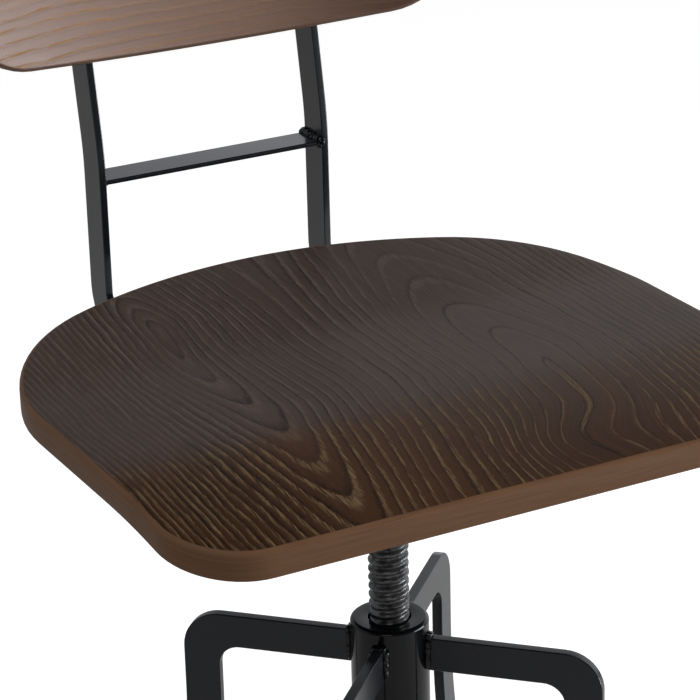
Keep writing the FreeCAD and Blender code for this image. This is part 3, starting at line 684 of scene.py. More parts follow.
@dataclass(frozen=True)
class Veneer:
    """Stained open-pore ash with a ply edge round its rim.

    The painted-light colours stand on one side of two stretches of one axis, the others past them: on the
    seat a painted sheen, lighter and greyer behind the front bend; on the backrest painted shade, darker
    towards its right end.
    """

    name: str
    wood: Colour
    late_wood: Colour
    pore: Colour
    # Painted-light colours: a painted sheen on the seat, painted shade on the backrest.
    painted_light_wood: Colour
    painted_light_late: Colour
    painted_light_pore: Colour
    edge: Colour
    edge_dark: Colour
    figure: Figure
    axes: str
    lacquer: float
    open_pore: float
    index: float
    # The axis and stretches along which the colours turn into the painted-light set.
    light_axis: str
    pore_light_stretch: Stretch
    wood_light_stretch: Stretch
    pore_depth: float = 0.045 * MM
    rim_stretch: Stretch = (0.2, 0.8)
    tone_stretch: Stretch = (0.38, 0.66)
    tone_most: float = 0.4
    faint_most: float = 0.5
    ring_matt: float = 0.4
    plies: int = 9
    glue_start: float = 0.86
    glue_most: float = 0.2
    edge_along: Spot = (30.0, 26.0)
    edge_through: float = 22.0
    edge_layers: float = 3.0
    edge_stretch: Stretch = (0.35, 0.75)
    edge_most: float = 0.6

    def material(self) -> bpy.types.Material:
        """Build the material.

        Returns:
            The finished material.
        """
        material, graph, shader = new_material(self.name)
        parts = graph.node("ShaderNodeSeparateXYZ")
        graph.feed(parts.inputs[0], graph.object_place())
        place = dict(zip("xyz", parts.outputs))
        grain = graph.node("ShaderNodeGroup", node_tree=GRAIN)
        for title, axis in zip(("Across", "Along", "Depth"), self.axes):
            graph.feed(grain.inputs[title], place[axis])
        for title, number in self.figure.inputs().items():
            grain.inputs[title].default_value = number
        rim = graph.attribute("rim")
        face = graph.span(rim, *self.rim_stretch, 1.0, 0.0)
        pore = graph.math("MULTIPLY", grain.outputs["Pore"], face)
        # Painted light: along one axis the colours turn into the painted-light set, a painted sheen behind
        # the seat's front bend and painted shade towards the backrest's right end.
        pore_light_share = graph.span(place[self.light_axis], *self.pore_light_stretch, 1.0, 0.0)
        wood_light_share = graph.span(place[self.light_axis], *self.wood_light_stretch, 1.0, 0.0)
        tone = graph.span(grain.outputs["Tone"], *self.tone_stretch, 0.0, self.tone_most)
        # Packed rings are drawn fainter where the painted-light colours stand; on the seat this is part of
        # the painted sheen washing out the lines.
        fading = graph.math("MULTIPLY_ADD", wood_light_share, -self.faint_most, self.faint_most)
        faint = graph.math("MULTIPLY", grain.outputs["Packed"], fading)
        ring = graph.math("MULTIPLY", grain.outputs["Ring"], graph.math("SUBTRACT", 1.0, faint))
        face_colour = graph.mix(
            graph.math("MAXIMUM", ring, tone), graph.mix(wood_light_share, self.painted_light_wood, self.wood),
            graph.mix(wood_light_share, self.painted_light_late, self.late_wood))
        face_colour = graph.mix(pore, face_colour, graph.mix(pore_light_share, self.painted_light_pore, self.pore))
        edge_colour = self.edge_colour(graph, place)
        graph.feed(shader.inputs["Base Color"], graph.mix(face, edge_colour, face_colour))
        matt = graph.math("MAXIMUM", pore, graph.math("MULTIPLY", ring, self.ring_matt))
        graph.feed(shader.inputs["Roughness"], graph.span(matt, 0.0, 1.0, self.lacquer, self.open_pore))
        shader.inputs["IOR"].default_value = self.index
        level = graph.math("SUBTRACT", 1.0, pore)
        graph.feed(shader.inputs["Normal"], graph.bump(level, self.pore_depth))
        return material

    def edge_colour(self, graph: Graph, place: dict[str, Socket]) -> Socket:
        """Fine streaks along the rim, with the plies as faint darker lines.

        Args:
            graph: The material's graph.
            place: The coordinates by name.

        Returns:
            The rim's colour.
        """
        share = graph.attribute("ply_share")
        sideways, lengthways = self.edge_along
        along = graph.math("ADD", graph.math("MULTIPLY", place["x"], sideways),
                           graph.math("MULTIPLY", place["y"], lengthways))
        through = graph.math("MULTIPLY", share, self.edge_through)
        streak = graph.noise(graph.vector(along, through, place["z"]), 1.0, self.edge_layers)
        layer = graph.math("FRACT", graph.math("MULTIPLY", share, float(self.plies)))
        glue = graph.math("MULTIPLY", graph.span(layer, self.glue_start, 1.0), self.glue_most)
        streaky = graph.math("MULTIPLY", graph.span(streak, *self.edge_stretch), self.edge_most)
        dark = graph.math("MAXIMUM", streaky, glue)
        return graph.mix(dark, self.edge, self.edge_dark)


Finish = Union[Coat, Veneer]

BLACK_COAT = Coat("black_coat", (0.0032, 0.0042, 0.0066), (0.005, 0.0062, 0.0088), 0.2, 0.28,
                  dimple_depth=0.008 * MM)
# A lighter copy of the black paint for the legs, with a weaker specular: painted light standing in for part
# of their reflection.
LIT_LEG_COAT = Coat("leg_coat", (0.0072, 0.0084, 0.0112), (0.0092, 0.0104, 0.0132), 0.2, 0.28,
                dimple_depth=0.008 * MM, specular=0.29)
# A darker copy of the black paint for the hub, with a weaker specular: painted shade where the seat shades
# the hub.
SHADED_HUB_COAT = Coat("hub_coat", (0.0015, 0.0019, 0.0027), (0.0022, 0.0027, 0.0036), 0.08, 0.14,
                dimple_depth=0.004 * MM, specular=0.22)
WELD_COAT = Coat("weld_coat", (0.0018, 0.0022, 0.003), (0.003, 0.0034, 0.0044), 0.16, 0.26,
                 dimple_depth=0.01 * MM, specular=0.22)
OILED_SCREW = Coat("oiled_screw", (0.085, 0.086, 0.088), (0.014, 0.014, 0.015), 0.2, 0.5, metallic=0.7,
                   smear_scale=140.0, dimple_scale=500.0, dimple_depth=0.05 * MM)
ZINC_PLATE = Coat("zinc_plate", (0.56, 0.57, 0.58), (0.42, 0.43, 0.44), 0.28, 0.45, metallic=1.0,
                  smear_scale=60.0, dimple_scale=1500.0)
BLACK_SCREW = Coat("black_screw", (0.02, 0.02, 0.02), (0.03, 0.03, 0.03), 0.35, 0.5,
                   metallic=0.4, smear_scale=80.0)
TURNED_BRASS = Coat("turned_brass", (0.6, 0.43, 0.17), (0.5, 0.35, 0.14), 0.25, 0.4,
                    metallic=1.0, smear_scale=90.0)
NUT_BRONZE = Coat("nut_bronze", (0.42, 0.28, 0.13), (0.3, 0.2, 0.1), 0.3, 0.5,
                  metallic=1.0, smear_scale=60.0)
SHOE_PLASTIC = Coat("shoe_plastic", (0.017, 0.017, 0.018), (0.026, 0.026, 0.027), 0.45, 0.6,
                    dimple_scale=2200.0, dimple_depth=0.03 * MM)

# The painted-light colours are a painted sheen: lighter and greyer than the wood on the flat and the rear
# rise.
SEAT_VENEER = Veneer(
    "seat_veneer",
    wood=(0.047, 0.0185, 0.0054), late_wood=(0.0012, 0.0005, 0.0003), pore=(0.138, 0.094, 0.046),
    painted_light_wood=(0.051, 0.0315, 0.0232), painted_light_late=(0.005, 0.003, 0.0023), painted_light_pore=(0.104, 0.077, 0.064),
    edge=(0.12, 0.061, 0.031), edge_dark=(0.086, 0.043, 0.022),
    figure=SEAT_FIGURE, axes="xyz", lacquer=0.46, open_pore=0.75, index=1.2,
    light_axis="y", pore_light_stretch=(-0.13, -0.105), wood_light_stretch=(-0.138, -0.088))
# Painted light and shade: the wood is lighter towards the left end, and the painted-light colours are
# darker towards the right end, as the key lamp falls across the curve.
BACK_VENEER = Veneer(
    "back_veneer",
    wood=(0.158, 0.087, 0.06), late_wood=(0.115, 0.062, 0.043), pore=(0.3, 0.16, 0.07),
    painted_light_wood=(0.064, 0.0265, 0.0132), painted_light_late=(0.044, 0.0185, 0.0095), painted_light_pore=(0.1, 0.047, 0.026),
    edge=(0.1, 0.052, 0.031), edge_dark=(0.07, 0.036, 0.022),
    figure=BACK_FIGURE, axes="zxy", lacquer=0.4, open_pore=1.0, index=1.5,
    light_axis="x", pore_light_stretch=(-0.11, 0.12), wood_light_stretch=(0.0, 0.15))


class Finishes:
    """Makes each finish once, when it is first asked for."""

    def __init__(self) -> None:
        """Start with none made."""
        self.made: dict[str, bpy.types.Material] = {}

    def get(self, finish: Finish) -> bpy.types.Material:
        """The material of a finish.

        Args:
            finish: The finish.

        Returns:
            Its material, the same one each time.
        """
        if finish.name not in self.made:
            self.made[finish.name] = finish.material()
        return self.made[finish.name]


FINISHES = Finishes()


def new_object(name: str, mesh: bpy.types.Mesh) -> bpy.types.Object:
    """Put a mesh into the scene as an object at the origin.

    Args:
        name: The object's name.
        mesh: Its mesh.

    Returns:
        The object.
    """
    obj = bpy.data.objects.new(name, mesh)
    bpy.context.scene.collection.objects.link(obj)
    return obj


def set_piece(obj: bpy.types.Object, body: Body, slot: Slot, finish: Finish, *nodes: str) -> None:
    """Dress a finished piece, hide the model's nodes that it stands for and let it ride on its body.

    Args:
        obj: The piece.
        body: The body it moves with.
        slot: Not used.
        finish: Its finish.
        nodes: The model's nodes that it stands for.
    """
    obj.data.materials.clear()
    obj.data.materials.append(FINISHES.get(finish))
    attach(obj, body.value)
    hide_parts(*nodes)
    LOG.info("%s: %d faces on %s", obj.name, len(obj.data.polygons), body.value)


def dress_node(node: str, finish: Finish) -> None:
    """Give one of the model's own nodes its finish.

    Args:
        node: The node.
        finish: Its finish.
    """
    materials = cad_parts[node].data.materials
    materials.clear()
    materials.append(FINISHES.get(finish))
    LOG.info("%s keeps its own shape", node)


def bake_modifiers(obj: bpy.types.Object) -> None:
    """Replace an object's mesh by what its modifiers make of it.

    Args:
        obj: The object.
    """
    graph = bpy.context.evaluated_depsgraph_get()
    graph.update()
    mesh = bpy.data.meshes.new_from_object(obj.evaluated_get(graph), depsgraph=graph)
    obj.modifiers.clear()
    obj.data = mesh


def bevelled_copy(node: str, width: float, segments: int = 3) -> bpy.types.Object:
    """Copy a node's shape and break its edges.

    Args:
        node: The node.
        width: How wide each bevel is.
        segments: How many faces go round each bevel.

    Returns:
        The bevelled piece, as a plain mesh.
    """
    flat_turn = math.radians(1.0)
    sharp_turn = math.radians(34.0)
    work = bmesh.new()
    work.from_mesh(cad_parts[node].data)
    bmesh.ops.remove_doubles(work, verts=work.verts, dist=MERGE_DISTANCE)
    bmesh.ops.dissolve_limit(work, angle_limit=flat_turn, verts=work.verts, edges=work.edges)
    mesh = bpy.data.meshes.new(f"{node}_finished")
    work.to_mesh(mesh)
    work.free()
    obj = new_object(mesh.name, mesh)
    mesh.shade_smooth()
    bevel = obj.modifiers.new("bevel", "BEVEL")
    bevel.width = width
    bevel.segments = segments
    bevel.limit_method = "ANGLE"
    bevel.angle_limit = sharp_turn
    bevel.harden_normals = True
    even = obj.modifiers.new("even", "WEIGHTED_NORMAL")
    even.keep_sharp = True
    bake_modifiers(obj)
    return obj


def lathe(
        name: str, profile: Sequence[tuple[Reach, float]], centre: Vector,
        sides: int = 96) -> bpy.types.Object:
    """Turn a closed profile of (radius, height) about an upright axis.

    Args:
        name: The piece's name.
        profile: The profile's corners, counter-clockwise with the radius to the right. A radius may also be
            a function of the angle, for a piece that isn't round.
        centre: A point of the axis, at height 0 of the profile.
        sides: How many faces go round.

    Returns:
        The turned piece.
    """
    flat_weight = 80
    work = bmesh.new()
    rings = []
    turns = [FULL_TURN * i / sides for i in range(sides)]
    for radius, height in profile:
        if radius == 0.0:
            rings.append([work.verts.new(centre + Vector((0.0, 0.0, height)))] * sides)
            continue
        reaches = [radius(turn) if callable(radius) else radius for turn in turns]
        rings.append([
            work.verts.new(centre + Vector((reach * math.cos(turn), reach * math.sin(turn), height)))
            for reach, turn in zip(reaches, turns)])
    closed = all(radius != 0.0 for radius, _ in profile)
    for first, second in zip(rings, rings[1:] + (rings[:1] if closed else [])):
        for i in range(sides):
            corners = [first[i], first[(i + 1) % sides], second[(i + 1) % sides], second[i]]
            distinct = list(dict.fromkeys(corners))
            if len(distinct) > 2:
                work.faces.new(distinct)
    bmesh.ops.recalc_face_normals(work, faces=work.faces)
    mesh = bpy.data.meshes.new(name)
    work.to_mesh(mesh)
    work.free()
    mesh.shade_smooth()
    obj = new_object(name, mesh)
    even = obj.modifiers.new("even", "WEIGHTED_NORMAL")
    even.weight = flat_weight
    bake_modifiers(obj)
    return obj


class GeometryTree(Graph):
    """Builds one Geometry Nodes tree and turns its result into a plain mesh."""

    def __init__(self, name: str, inputs: dict[str, float]) -> None:
        """Make the tree with its named inputs.

        Args:
            name: The tree's name.
            inputs: Each input's name and value.
        """
        super().__init__(bpy.data.node_groups.new(name, "GeometryNodeTree"))
        interface = self.tree.interface
        interface.new_socket("Geometry", in_out="INPUT", socket_type="NodeSocketGeometry")
        self.values: dict[str, float] = {}
        for title, value in inputs.items():
            socket = interface.new_socket(title, in_out="INPUT", socket_type="NodeSocketFloat")
            self.values[socket.identifier] = value
        interface.new_socket("Geometry", in_out="OUTPUT", socket_type="NodeSocketGeometry")
        self.entry = self.node("NodeGroupInput").outputs
        self.leave = self.node("NodeGroupOutput").inputs

    def fed(
            self, kind: str, settings: Optional[dict[str, object]] = None,
            **feeds: object) -> bpy.types.Node:
        """Add one node and feed it.

        Args:
            kind: The node's type name.
            settings: Properties to set on it.
            feeds: Input names, with spaces as underscores, and what feeds them.

        Returns:
            The new node.
        """
        made = self.node(kind, **(settings or {}))
        for name, value in feeds.items():
            self.feed(made.inputs[name.replace("_", " ")], value)
        return made

    def lumps(self, scale: Value, detail: float) -> Socket:
        """A noise in space that the tree's seed shifts.

        Args:
            scale: How many lumps a metre, about.
            detail: How many finer layers it has.

        Returns:
            The noise, about 0.5 in the middle.
        """
        noise = self.fed("ShaderNodeTexNoise", {"noise_dimensions": "4D"},
                         W=self.entry["Seed"], Scale=scale, Detail=detail)
        return noise.outputs[0]

    def shifted(self, geometry: Socket, direction: Socket, distance: Socket) -> Socket:
        """Move a geometry's points.

        Args:
            geometry: The geometry.
            direction: Each point's direction.
            distance: How far each point goes that way.

        Returns:
            The moved geometry.
        """
        offset = self.fed("ShaderNodeVectorMath", {"operation": "SCALE"}, Scale=distance)
        self.feed(offset.inputs[0], direction)
        moved = self.fed("GeometryNodeSetPosition", Geometry=geometry, Offset=offset.outputs[0])
        return moved.outputs[0]

    def set_down(self, geometry: Socket, y: Value, z: Value) -> Socket:
        """Carry a geometry from the origin to its place in the chair's middle plane.

        Args:
            geometry: The geometry.
            y: How far back.
            z: How far up.

        Returns:
            The geometry in its place.
        """
        spot = self.fed("ShaderNodeCombineXYZ", Y=y, Z=z)
        moved = self.fed("GeometryNodeTransform", Geometry=geometry, Translation=spot.outputs[0])
        return moved.outputs[0]

    def run(
            self, result: Socket, finish: Coat, name: str,
            start: Optional[bpy.types.Mesh] = None) -> bpy.types.Object:
        """End the tree and make its result a plain mesh.

        Args:
            result: The geometry that the tree made.
            finish: The finish that it gets.
            name: The new piece's name.
            start: The mesh that the tree works on, or None for an empty one.

        Returns:
            The new piece.
        """
        whole = self.fed("GeometryNodeRealizeInstances", Geometry=result)
        dressed = self.fed(
            "GeometryNodeSetMaterial", Geometry=whole.outputs[0], Material=FINISHES.get(finish))
        self.feed(self.leave[0], dressed.outputs[0])
        obj = new_object(name, start or bpy.data.meshes.new(name))
        modifier = obj.modifiers.new("tree", "NODES")
        modifier.node_group = self.tree
        for identifier, value in self.values.items():
            modifier[identifier] = value
        bake_modifiers(obj)
        obj.data.shade_smooth()
        return obj


def path_mesh(paths: Iterable[Sequence[Vector]]) -> bpy.types.Mesh:
    """Lines through points, as a mesh of edges only.

    Args:
        paths: The points of each line.

    Returns:
        The mesh.
    """
    points: list[Vector] = []
    edges: list[tuple[int, int]] = []
    for path in paths:
        start = len(points)
        points.extend(path)
        edges.extend((i, i + 1) for i in range(start, len(points) - 1))
    mesh = bpy.data.meshes.new("path")
    mesh.from_pydata(points, edges, [])
    return mesh


def weld_bead(name: str, paths: Iterable[Sequence[Vector]], radius: float, seed: float) -> bpy.types.Object:
    """Lumpy weld beads along lines.

    Args:
        name: The new piece's name.
        paths: The points of each bead's middle line.
        radius: The beads' radius.
        seed: Where the lumps are read, so that no two welds are alike.

    Returns:
        The beads as one piece.
    """
    sides = 14
    end_power = 10.0
    just_over_one = 1.0001
    tree = GeometryTree(name, {
        "Radius": radius, "Step": 0.35 * MM, "Ripple Length": 4.2 * MM, "Ripple": 0.05, "Swell": 0.8,
        "Swell Scale": 130.0, "Lump": 1.2, "Lump Scale": 290.0, "Seed": seed})
    entry = tree.entry
    curve = tree.fed("GeometryNodeMeshToCurve", Mesh=entry["Geometry"])
    fine = tree.fed(
        "GeometryNodeResampleCurve", {"mode": "LENGTH"}, Curve=curve.outputs[0], Length=entry["Step"])
    spline = tree.node("GeometryNodeSplineParameter").outputs
    ripples = tree.math("DIVIDE", spline["Length"], entry["Ripple Length"])
    wave = tree.math("SINE", tree.math("MULTIPLY", ripples, FULL_TURN))
    uneven = tree.math("SUBTRACT", tree.lumps(entry["Swell Scale"], 0.0), 0.5)
    swell = tree.math("ADD", tree.math("MULTIPLY", wave, entry["Ripple"]),
                      tree.math("MULTIPLY", uneven, entry["Swell"]))
    middle = tree.math("ABSOLUTE", tree.math("SUBTRACT", tree.math("MULTIPLY", spline["Factor"], 2.0), 1.0))
    ends = tree.math("SQRT", tree.math("SUBTRACT", just_over_one, tree.math("POWER", middle, end_power)))
    scale = tree.math("MULTIPLY", tree.math("ADD", swell, 1.0), ends)
    ring = tree.fed("GeometryNodeCurvePrimitiveCircle", Resolution=sides, Radius=entry["Radius"])
    skin = tree.fed("GeometryNodeCurveToMesh", Curve=fine.outputs[0], Profile_Curve=ring.outputs[0],
                    Scale=scale, Fill_Caps=True)
    rough = tree.math("SUBTRACT", tree.lumps(entry["Lump Scale"], 1.0), 0.5)
    push = tree.math("MULTIPLY", rough, tree.math("MULTIPLY", entry["Radius"], entry["Lump"]))
    lumpy = tree.shifted(skin.outputs[0], tree.node("GeometryNodeInputNormal").outputs[0], push)
    return tree.run(lumpy, WELD_COAT, name, path_mesh(paths))


def middle_of(node: str) -> Vector:
    """The middle of a node's box."""
    low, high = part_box(node)
    return (low + high) / 2


def loose_parts(node: str) -> list[list[Vector]]:
    """The corners of each separate solid of a node.

    Args:
        node: The node.

    Returns:
        One list of corners for each solid.
    """
    work = bmesh.new()
    work.from_mesh(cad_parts[node].data)
    bmesh.ops.remove_doubles(work, verts=work.verts, dist=MERGE_DISTANCE)
    waiting = dict.fromkeys(work.verts)
    parts = []
    while waiting:
        start = next(iter(waiting))
        del waiting[start]
        part = [start]
        for vert in part:
            beside = [edge.other_vert(vert) for edge in vert.link_edges]
            fresh = [other for other in dict.fromkeys(beside) if other in waiting]
            for other in fresh:
                del waiting[other]
            part.extend(fresh)
        parts.append([vert.co.copy() for vert in part])
    work.free()
    return parts


def long_part(points: Sequence[Vector]) -> tuple[Vector, Vector]:
    """The line through a long solid.

    Args:
        points: The solid's corners.

    Returns:
        The corners' middle, and the middle of the end that reaches farthest from it.
    """
    near_end = 0.8
    middle = sum(points, Vector()) / len(points)
    reach = max((point - middle for point in points), key=lambda step: step.length)
    end = [point for point in points if (point - middle).dot(reach) > near_end * reach.length_squared]
    return middle, sum(end, Vector()) / len(end)


@dataclass
class Fastener:
    """A screw, bolt or washer that is made once and set in several places.

    The pattern points up, with its upper end at the origin.
    """

    name: str
    pattern: list[tuple[Reach, float]]
    sides: int
    seed: float

    def set_at(self, places: Sequence[tuple[Vector, Vector]], finish: Coat) -> bpy.types.Object:
        """Set copies of the pattern, each turned about its own axis by chance.

        Args:
            places: Each copy's upper end and the direction it points in.
            finish: The finish.

        Returns:
            The copies as one piece.
        """
        pattern = lathe(f"{self.name}_pattern", self.pattern, Vector(), self.sides)
        spots = bpy.data.meshes.new(f"{self.name}_spots")
        spots.from_pydata([spot for spot, _ in places], [], [])
        axes = [number for _, axis in places for number in axis]
        spots.attributes.new("axis", "FLOAT_VECTOR", "POINT").data.foreach_set("vector", axes)
        tree = GeometryTree(self.name, {"Seed": self.seed})
        axis = tree.fed("GeometryNodeInputNamedAttribute", {"data_type": "FLOAT_VECTOR"}, Name="axis")
        facing = tree.fed("FunctionNodeAlignRotationToVector", {"axis": "Z"}, Vector=axis.outputs[0])
        source = tree.fed("GeometryNodeObjectInfo", Object=pattern)
        copies = tree.fed("GeometryNodeInstanceOnPoints", Points=tree.entry["Geometry"],
                          Instance=source.outputs["Geometry"], Rotation=facing.outputs[0])
        number = tree.math("ADD", tree.node("GeometryNodeInputIndex").outputs[0], tree.entry["Seed"])
        chance = tree.fed("ShaderNodeTexWhiteNoise", {"noise_dimensions": "1D"}, W=number)
        spin = tree.fed("ShaderNodeCombineXYZ", Z=tree.math("MULTIPLY", chance.outputs["Value"], FULL_TURN))
        turned = tree.fed(
            "GeometryNodeRotateInstances", Instances=copies.outputs[0], Rotation=spin.outputs[0])
        piece = tree.run(turned.outputs[0], finish, self.name, spots)
        bpy.data.objects.remove(pattern)
        return piece


@dataclass
class SteelBase:
    """The four-legged base: hub, legs, shoes and foot ring."""

    corners: tuple[str, ...] = ("front_left", "front_right", "rear_right", "rear_left")
    leg_bevel: float = 1.4 * MM
    shoe_bevel: float = 1.6 * MM
    shoe_segments: int = 4
    plug_bevel: float = 1.0 * MM
    weld_radius: float = 2.3 * MM
    weld_sink: float = 0.8 * MM
    hub_weld_lift: float = 0.4
    hub_weld_steps: int = 6
    top_weld_half: float = 1.4
    ring_weld_lift: float = 0.2
    ring_weld_aside: float = 0.3
    ring_weld_share: float = 0.8
    ring_weld_half: float = 100.0
    ring_weld_steps: int = 8
    arm_half: float = 3.5 * MM
    arm_height: float = 22.5 * MM
    tube_bore: float = 20.0 * MM
    cap_mouth: float = 13.5 * MM
    seam: float = 0.04 * MM
    edge: float = 0.6 * MM
    cap_round: float = 2.6 * MM
    cap_steps: int = 8
    bar_sides: int = 28
    ring_steps: int = 168

    def __post_init__(self) -> None:
        """Read the places of the hub and the foot ring from the frame."""
        low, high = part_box("hub_tube")
        self.axis = Vector(((low.x + high.x) / 2, (low.y + high.y) / 2, 0.0))
        self.hub_radius = (high.x - low.x) / 2
        self.tube = (low.z, high.z)
        cap_low, cap_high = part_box("hub_cap")
        self.cap = (cap_low.z, cap_high.z)
        self.arm_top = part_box("leg_front_left")[1].z
        low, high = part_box("foot_ring")
        self.bar_radius = (high.z - low.z) / 2
        self.ring_radius = (high.x - low.x) / 2 - self.bar_radius
        self.ring_height = (low.z + high.z) / 2

    def build(self) -> None:
        """Make all of the base."""
        self.build_hub()
        for corner in self.corners:
            leg = bevelled_copy(f"leg_{corner}", self.leg_bevel)
            set_piece(leg, Body.BASE, Slot.STEEL, LIT_LEG_COAT, f"leg_{corner}")
            shoe = bevelled_copy(f"foot_cap_{corner}", self.shoe_bevel, self.shoe_segments)
            set_piece(shoe, Body.BASE, Slot.PLASTIC, SHOE_PLASTIC, f"foot_cap_{corner}")
        self.build_ring()
        self.build_welds()
        dress_node("hub_nut", NUT_BRONZE)
        plug = bevelled_copy("hub_plug", self.plug_bevel)
        set_piece(plug, Body.BASE, Slot.PLASTIC, SHOE_PLASTIC, "hub_plug")

    def build_hub(self) -> None:
        """Turn the tube and its cap with a rounded edge."""
        bore, mouth, radius, edge = self.tube_bore, self.cap_mouth, self.hub_radius, self.edge
        low, high = self.tube
        tube = lathe("hub_tube_turned", [
            (bore, low), (radius - edge, low), (radius, low + edge), (radius, high - self.seam),
            (radius - self.seam, high), (bore, high)], self.axis)
        set_piece(tube, Body.BASE, Slot.STEEL, SHADED_HUB_COAT, "hub_tube")
        low, high = self.cap
        turns = [QUARTER_TURN * i / self.cap_steps for i in range(self.cap_steps + 1)]
        rounded = [(radius - self.cap_round * (1 - math.cos(t)), high - self.cap_round * (1 - math.sin(t)))
                   for t in turns]
        cap = lathe("hub_cap_turned", [
            (mouth, low), (radius - self.seam, low), (radius, low + self.seam), *rounded,
            (mouth + edge, high), (mouth, high - edge)], self.axis)
        set_piece(cap, Body.BASE, Slot.STEEL, SHADED_HUB_COAT, "hub_cap")

    def build_ring(self) -> None:
        """Bend the foot ring from round bar."""
        tree = GeometryTree("foot_ring_bend", {
            "Ring Radius": self.ring_radius, "Bar Radius": self.bar_radius, "Height": self.ring_height,
            "Axis Y": self.axis.y})
        entry = tree.entry
        circle = "GeometryNodeCurvePrimitiveCircle"
        bar = tree.fed(circle, Resolution=self.ring_steps, Radius=entry["Ring Radius"])
        profile = tree.fed(circle, Resolution=self.bar_sides, Radius=entry["Bar Radius"])
        skin = tree.fed("GeometryNodeCurveToMesh", Curve=bar.outputs[0], Profile_Curve=profile.outputs[0])
        moved = tree.set_down(skin.outputs[0], entry["Axis Y"], entry["Height"])
        ring = tree.run(moved, BLACK_COAT, "foot_ring_bent")
        set_piece(ring, Body.BASE, Slot.STEEL, BLACK_COAT, "foot_ring")

    def around(self, turn: float, out: float, side: float, height: float) -> Vector:
        """A point beside one leg.

        Args:
            turn: The leg's direction, in radians.
            out: Distance from the swivel axis along the leg's plane.
            side: Distance to the left of that plane.
            height: Height above the floor.

        Returns:
            The point.
        """
        ahead = Vector((math.cos(turn), math.sin(turn), 0.0))
        left = Vector((-ahead.y, ahead.x, 0.0))
        return self.axis + ahead * out + left * side + Vector((0.0, 0.0, height))

    def build_welds(self) -> None:
        """Lay the beads round each arm at the hub, and beside each leg at the foot ring."""
        quarters = [QUARTER_TURN / 2 + quarter * QUARTER_TURN for quarter in range(len(self.corners))]
        hub_paths = [path for turn in quarters for path in self.hub_beads(turn)]
        hub = weld_bead("hub_weld_beads", hub_paths, self.weld_radius, seed=1.0)
        set_piece(hub, Body.BASE, Slot.STEEL, WELD_COAT, "hub_welds")
        ring_paths = [self.ring_bead(turn, side) for turn in quarters for side in (-1, 1)]
        ring = weld_bead("ring_weld_beads", ring_paths, self.weld_radius * self.ring_weld_share, seed=2.0)
        set_piece(ring, Body.BASE, Slot.STEEL, WELD_COAT, "ring_welds")

    def hub_beads(self, turn: float) -> list[list[Vector]]:
        """The beads on both sides of one arm and across its top.

        Args:
            turn: The arm's direction, in radians.

        Returns:
            The points of each bead.
        """
        lift = (self.weld_radius - self.weld_sink) * self.hub_weld_lift
        out = self.hub_radius + lift
        bottom = self.arm_top - self.arm_height + self.weld_radius
        steps = [i / self.hub_weld_steps for i in range(self.hub_weld_steps + 1)]
        beads = [
            [self.around(turn, out, side * (self.arm_half + lift), bottom + (self.arm_top - bottom) * step)
             for step in steps]
            for side in (-1, 1)]
        across = self.arm_half * self.top_weld_half
        beads.append([self.around(turn, out, across * (2 * step - 1), self.arm_top) for step in steps])
        return beads

    def ring_bead(self, turn: float, side: int) -> list[Vector]:
        """The bead between the foot ring and one side of a leg.

        Args:
            turn: The leg's direction, in radians.
            side: 1 for the left of the leg's plane, and -1 for the right.

        Returns:
            The bead's points.
        """
        inset = self.weld_radius - self.weld_sink
        reach = self.bar_radius + inset * self.ring_weld_lift
        aside = side * (self.arm_half + inset * self.ring_weld_aside)
        points = []
        for i in range(self.ring_weld_steps + 1):
            roll = math.radians(self.ring_weld_half * (2 * i / self.ring_weld_steps - 1))
            out = self.ring_radius + reach * math.cos(roll)
            points.append(self.around(turn, out, aside, self.ring_height + reach * math.sin(roll)))
        return points


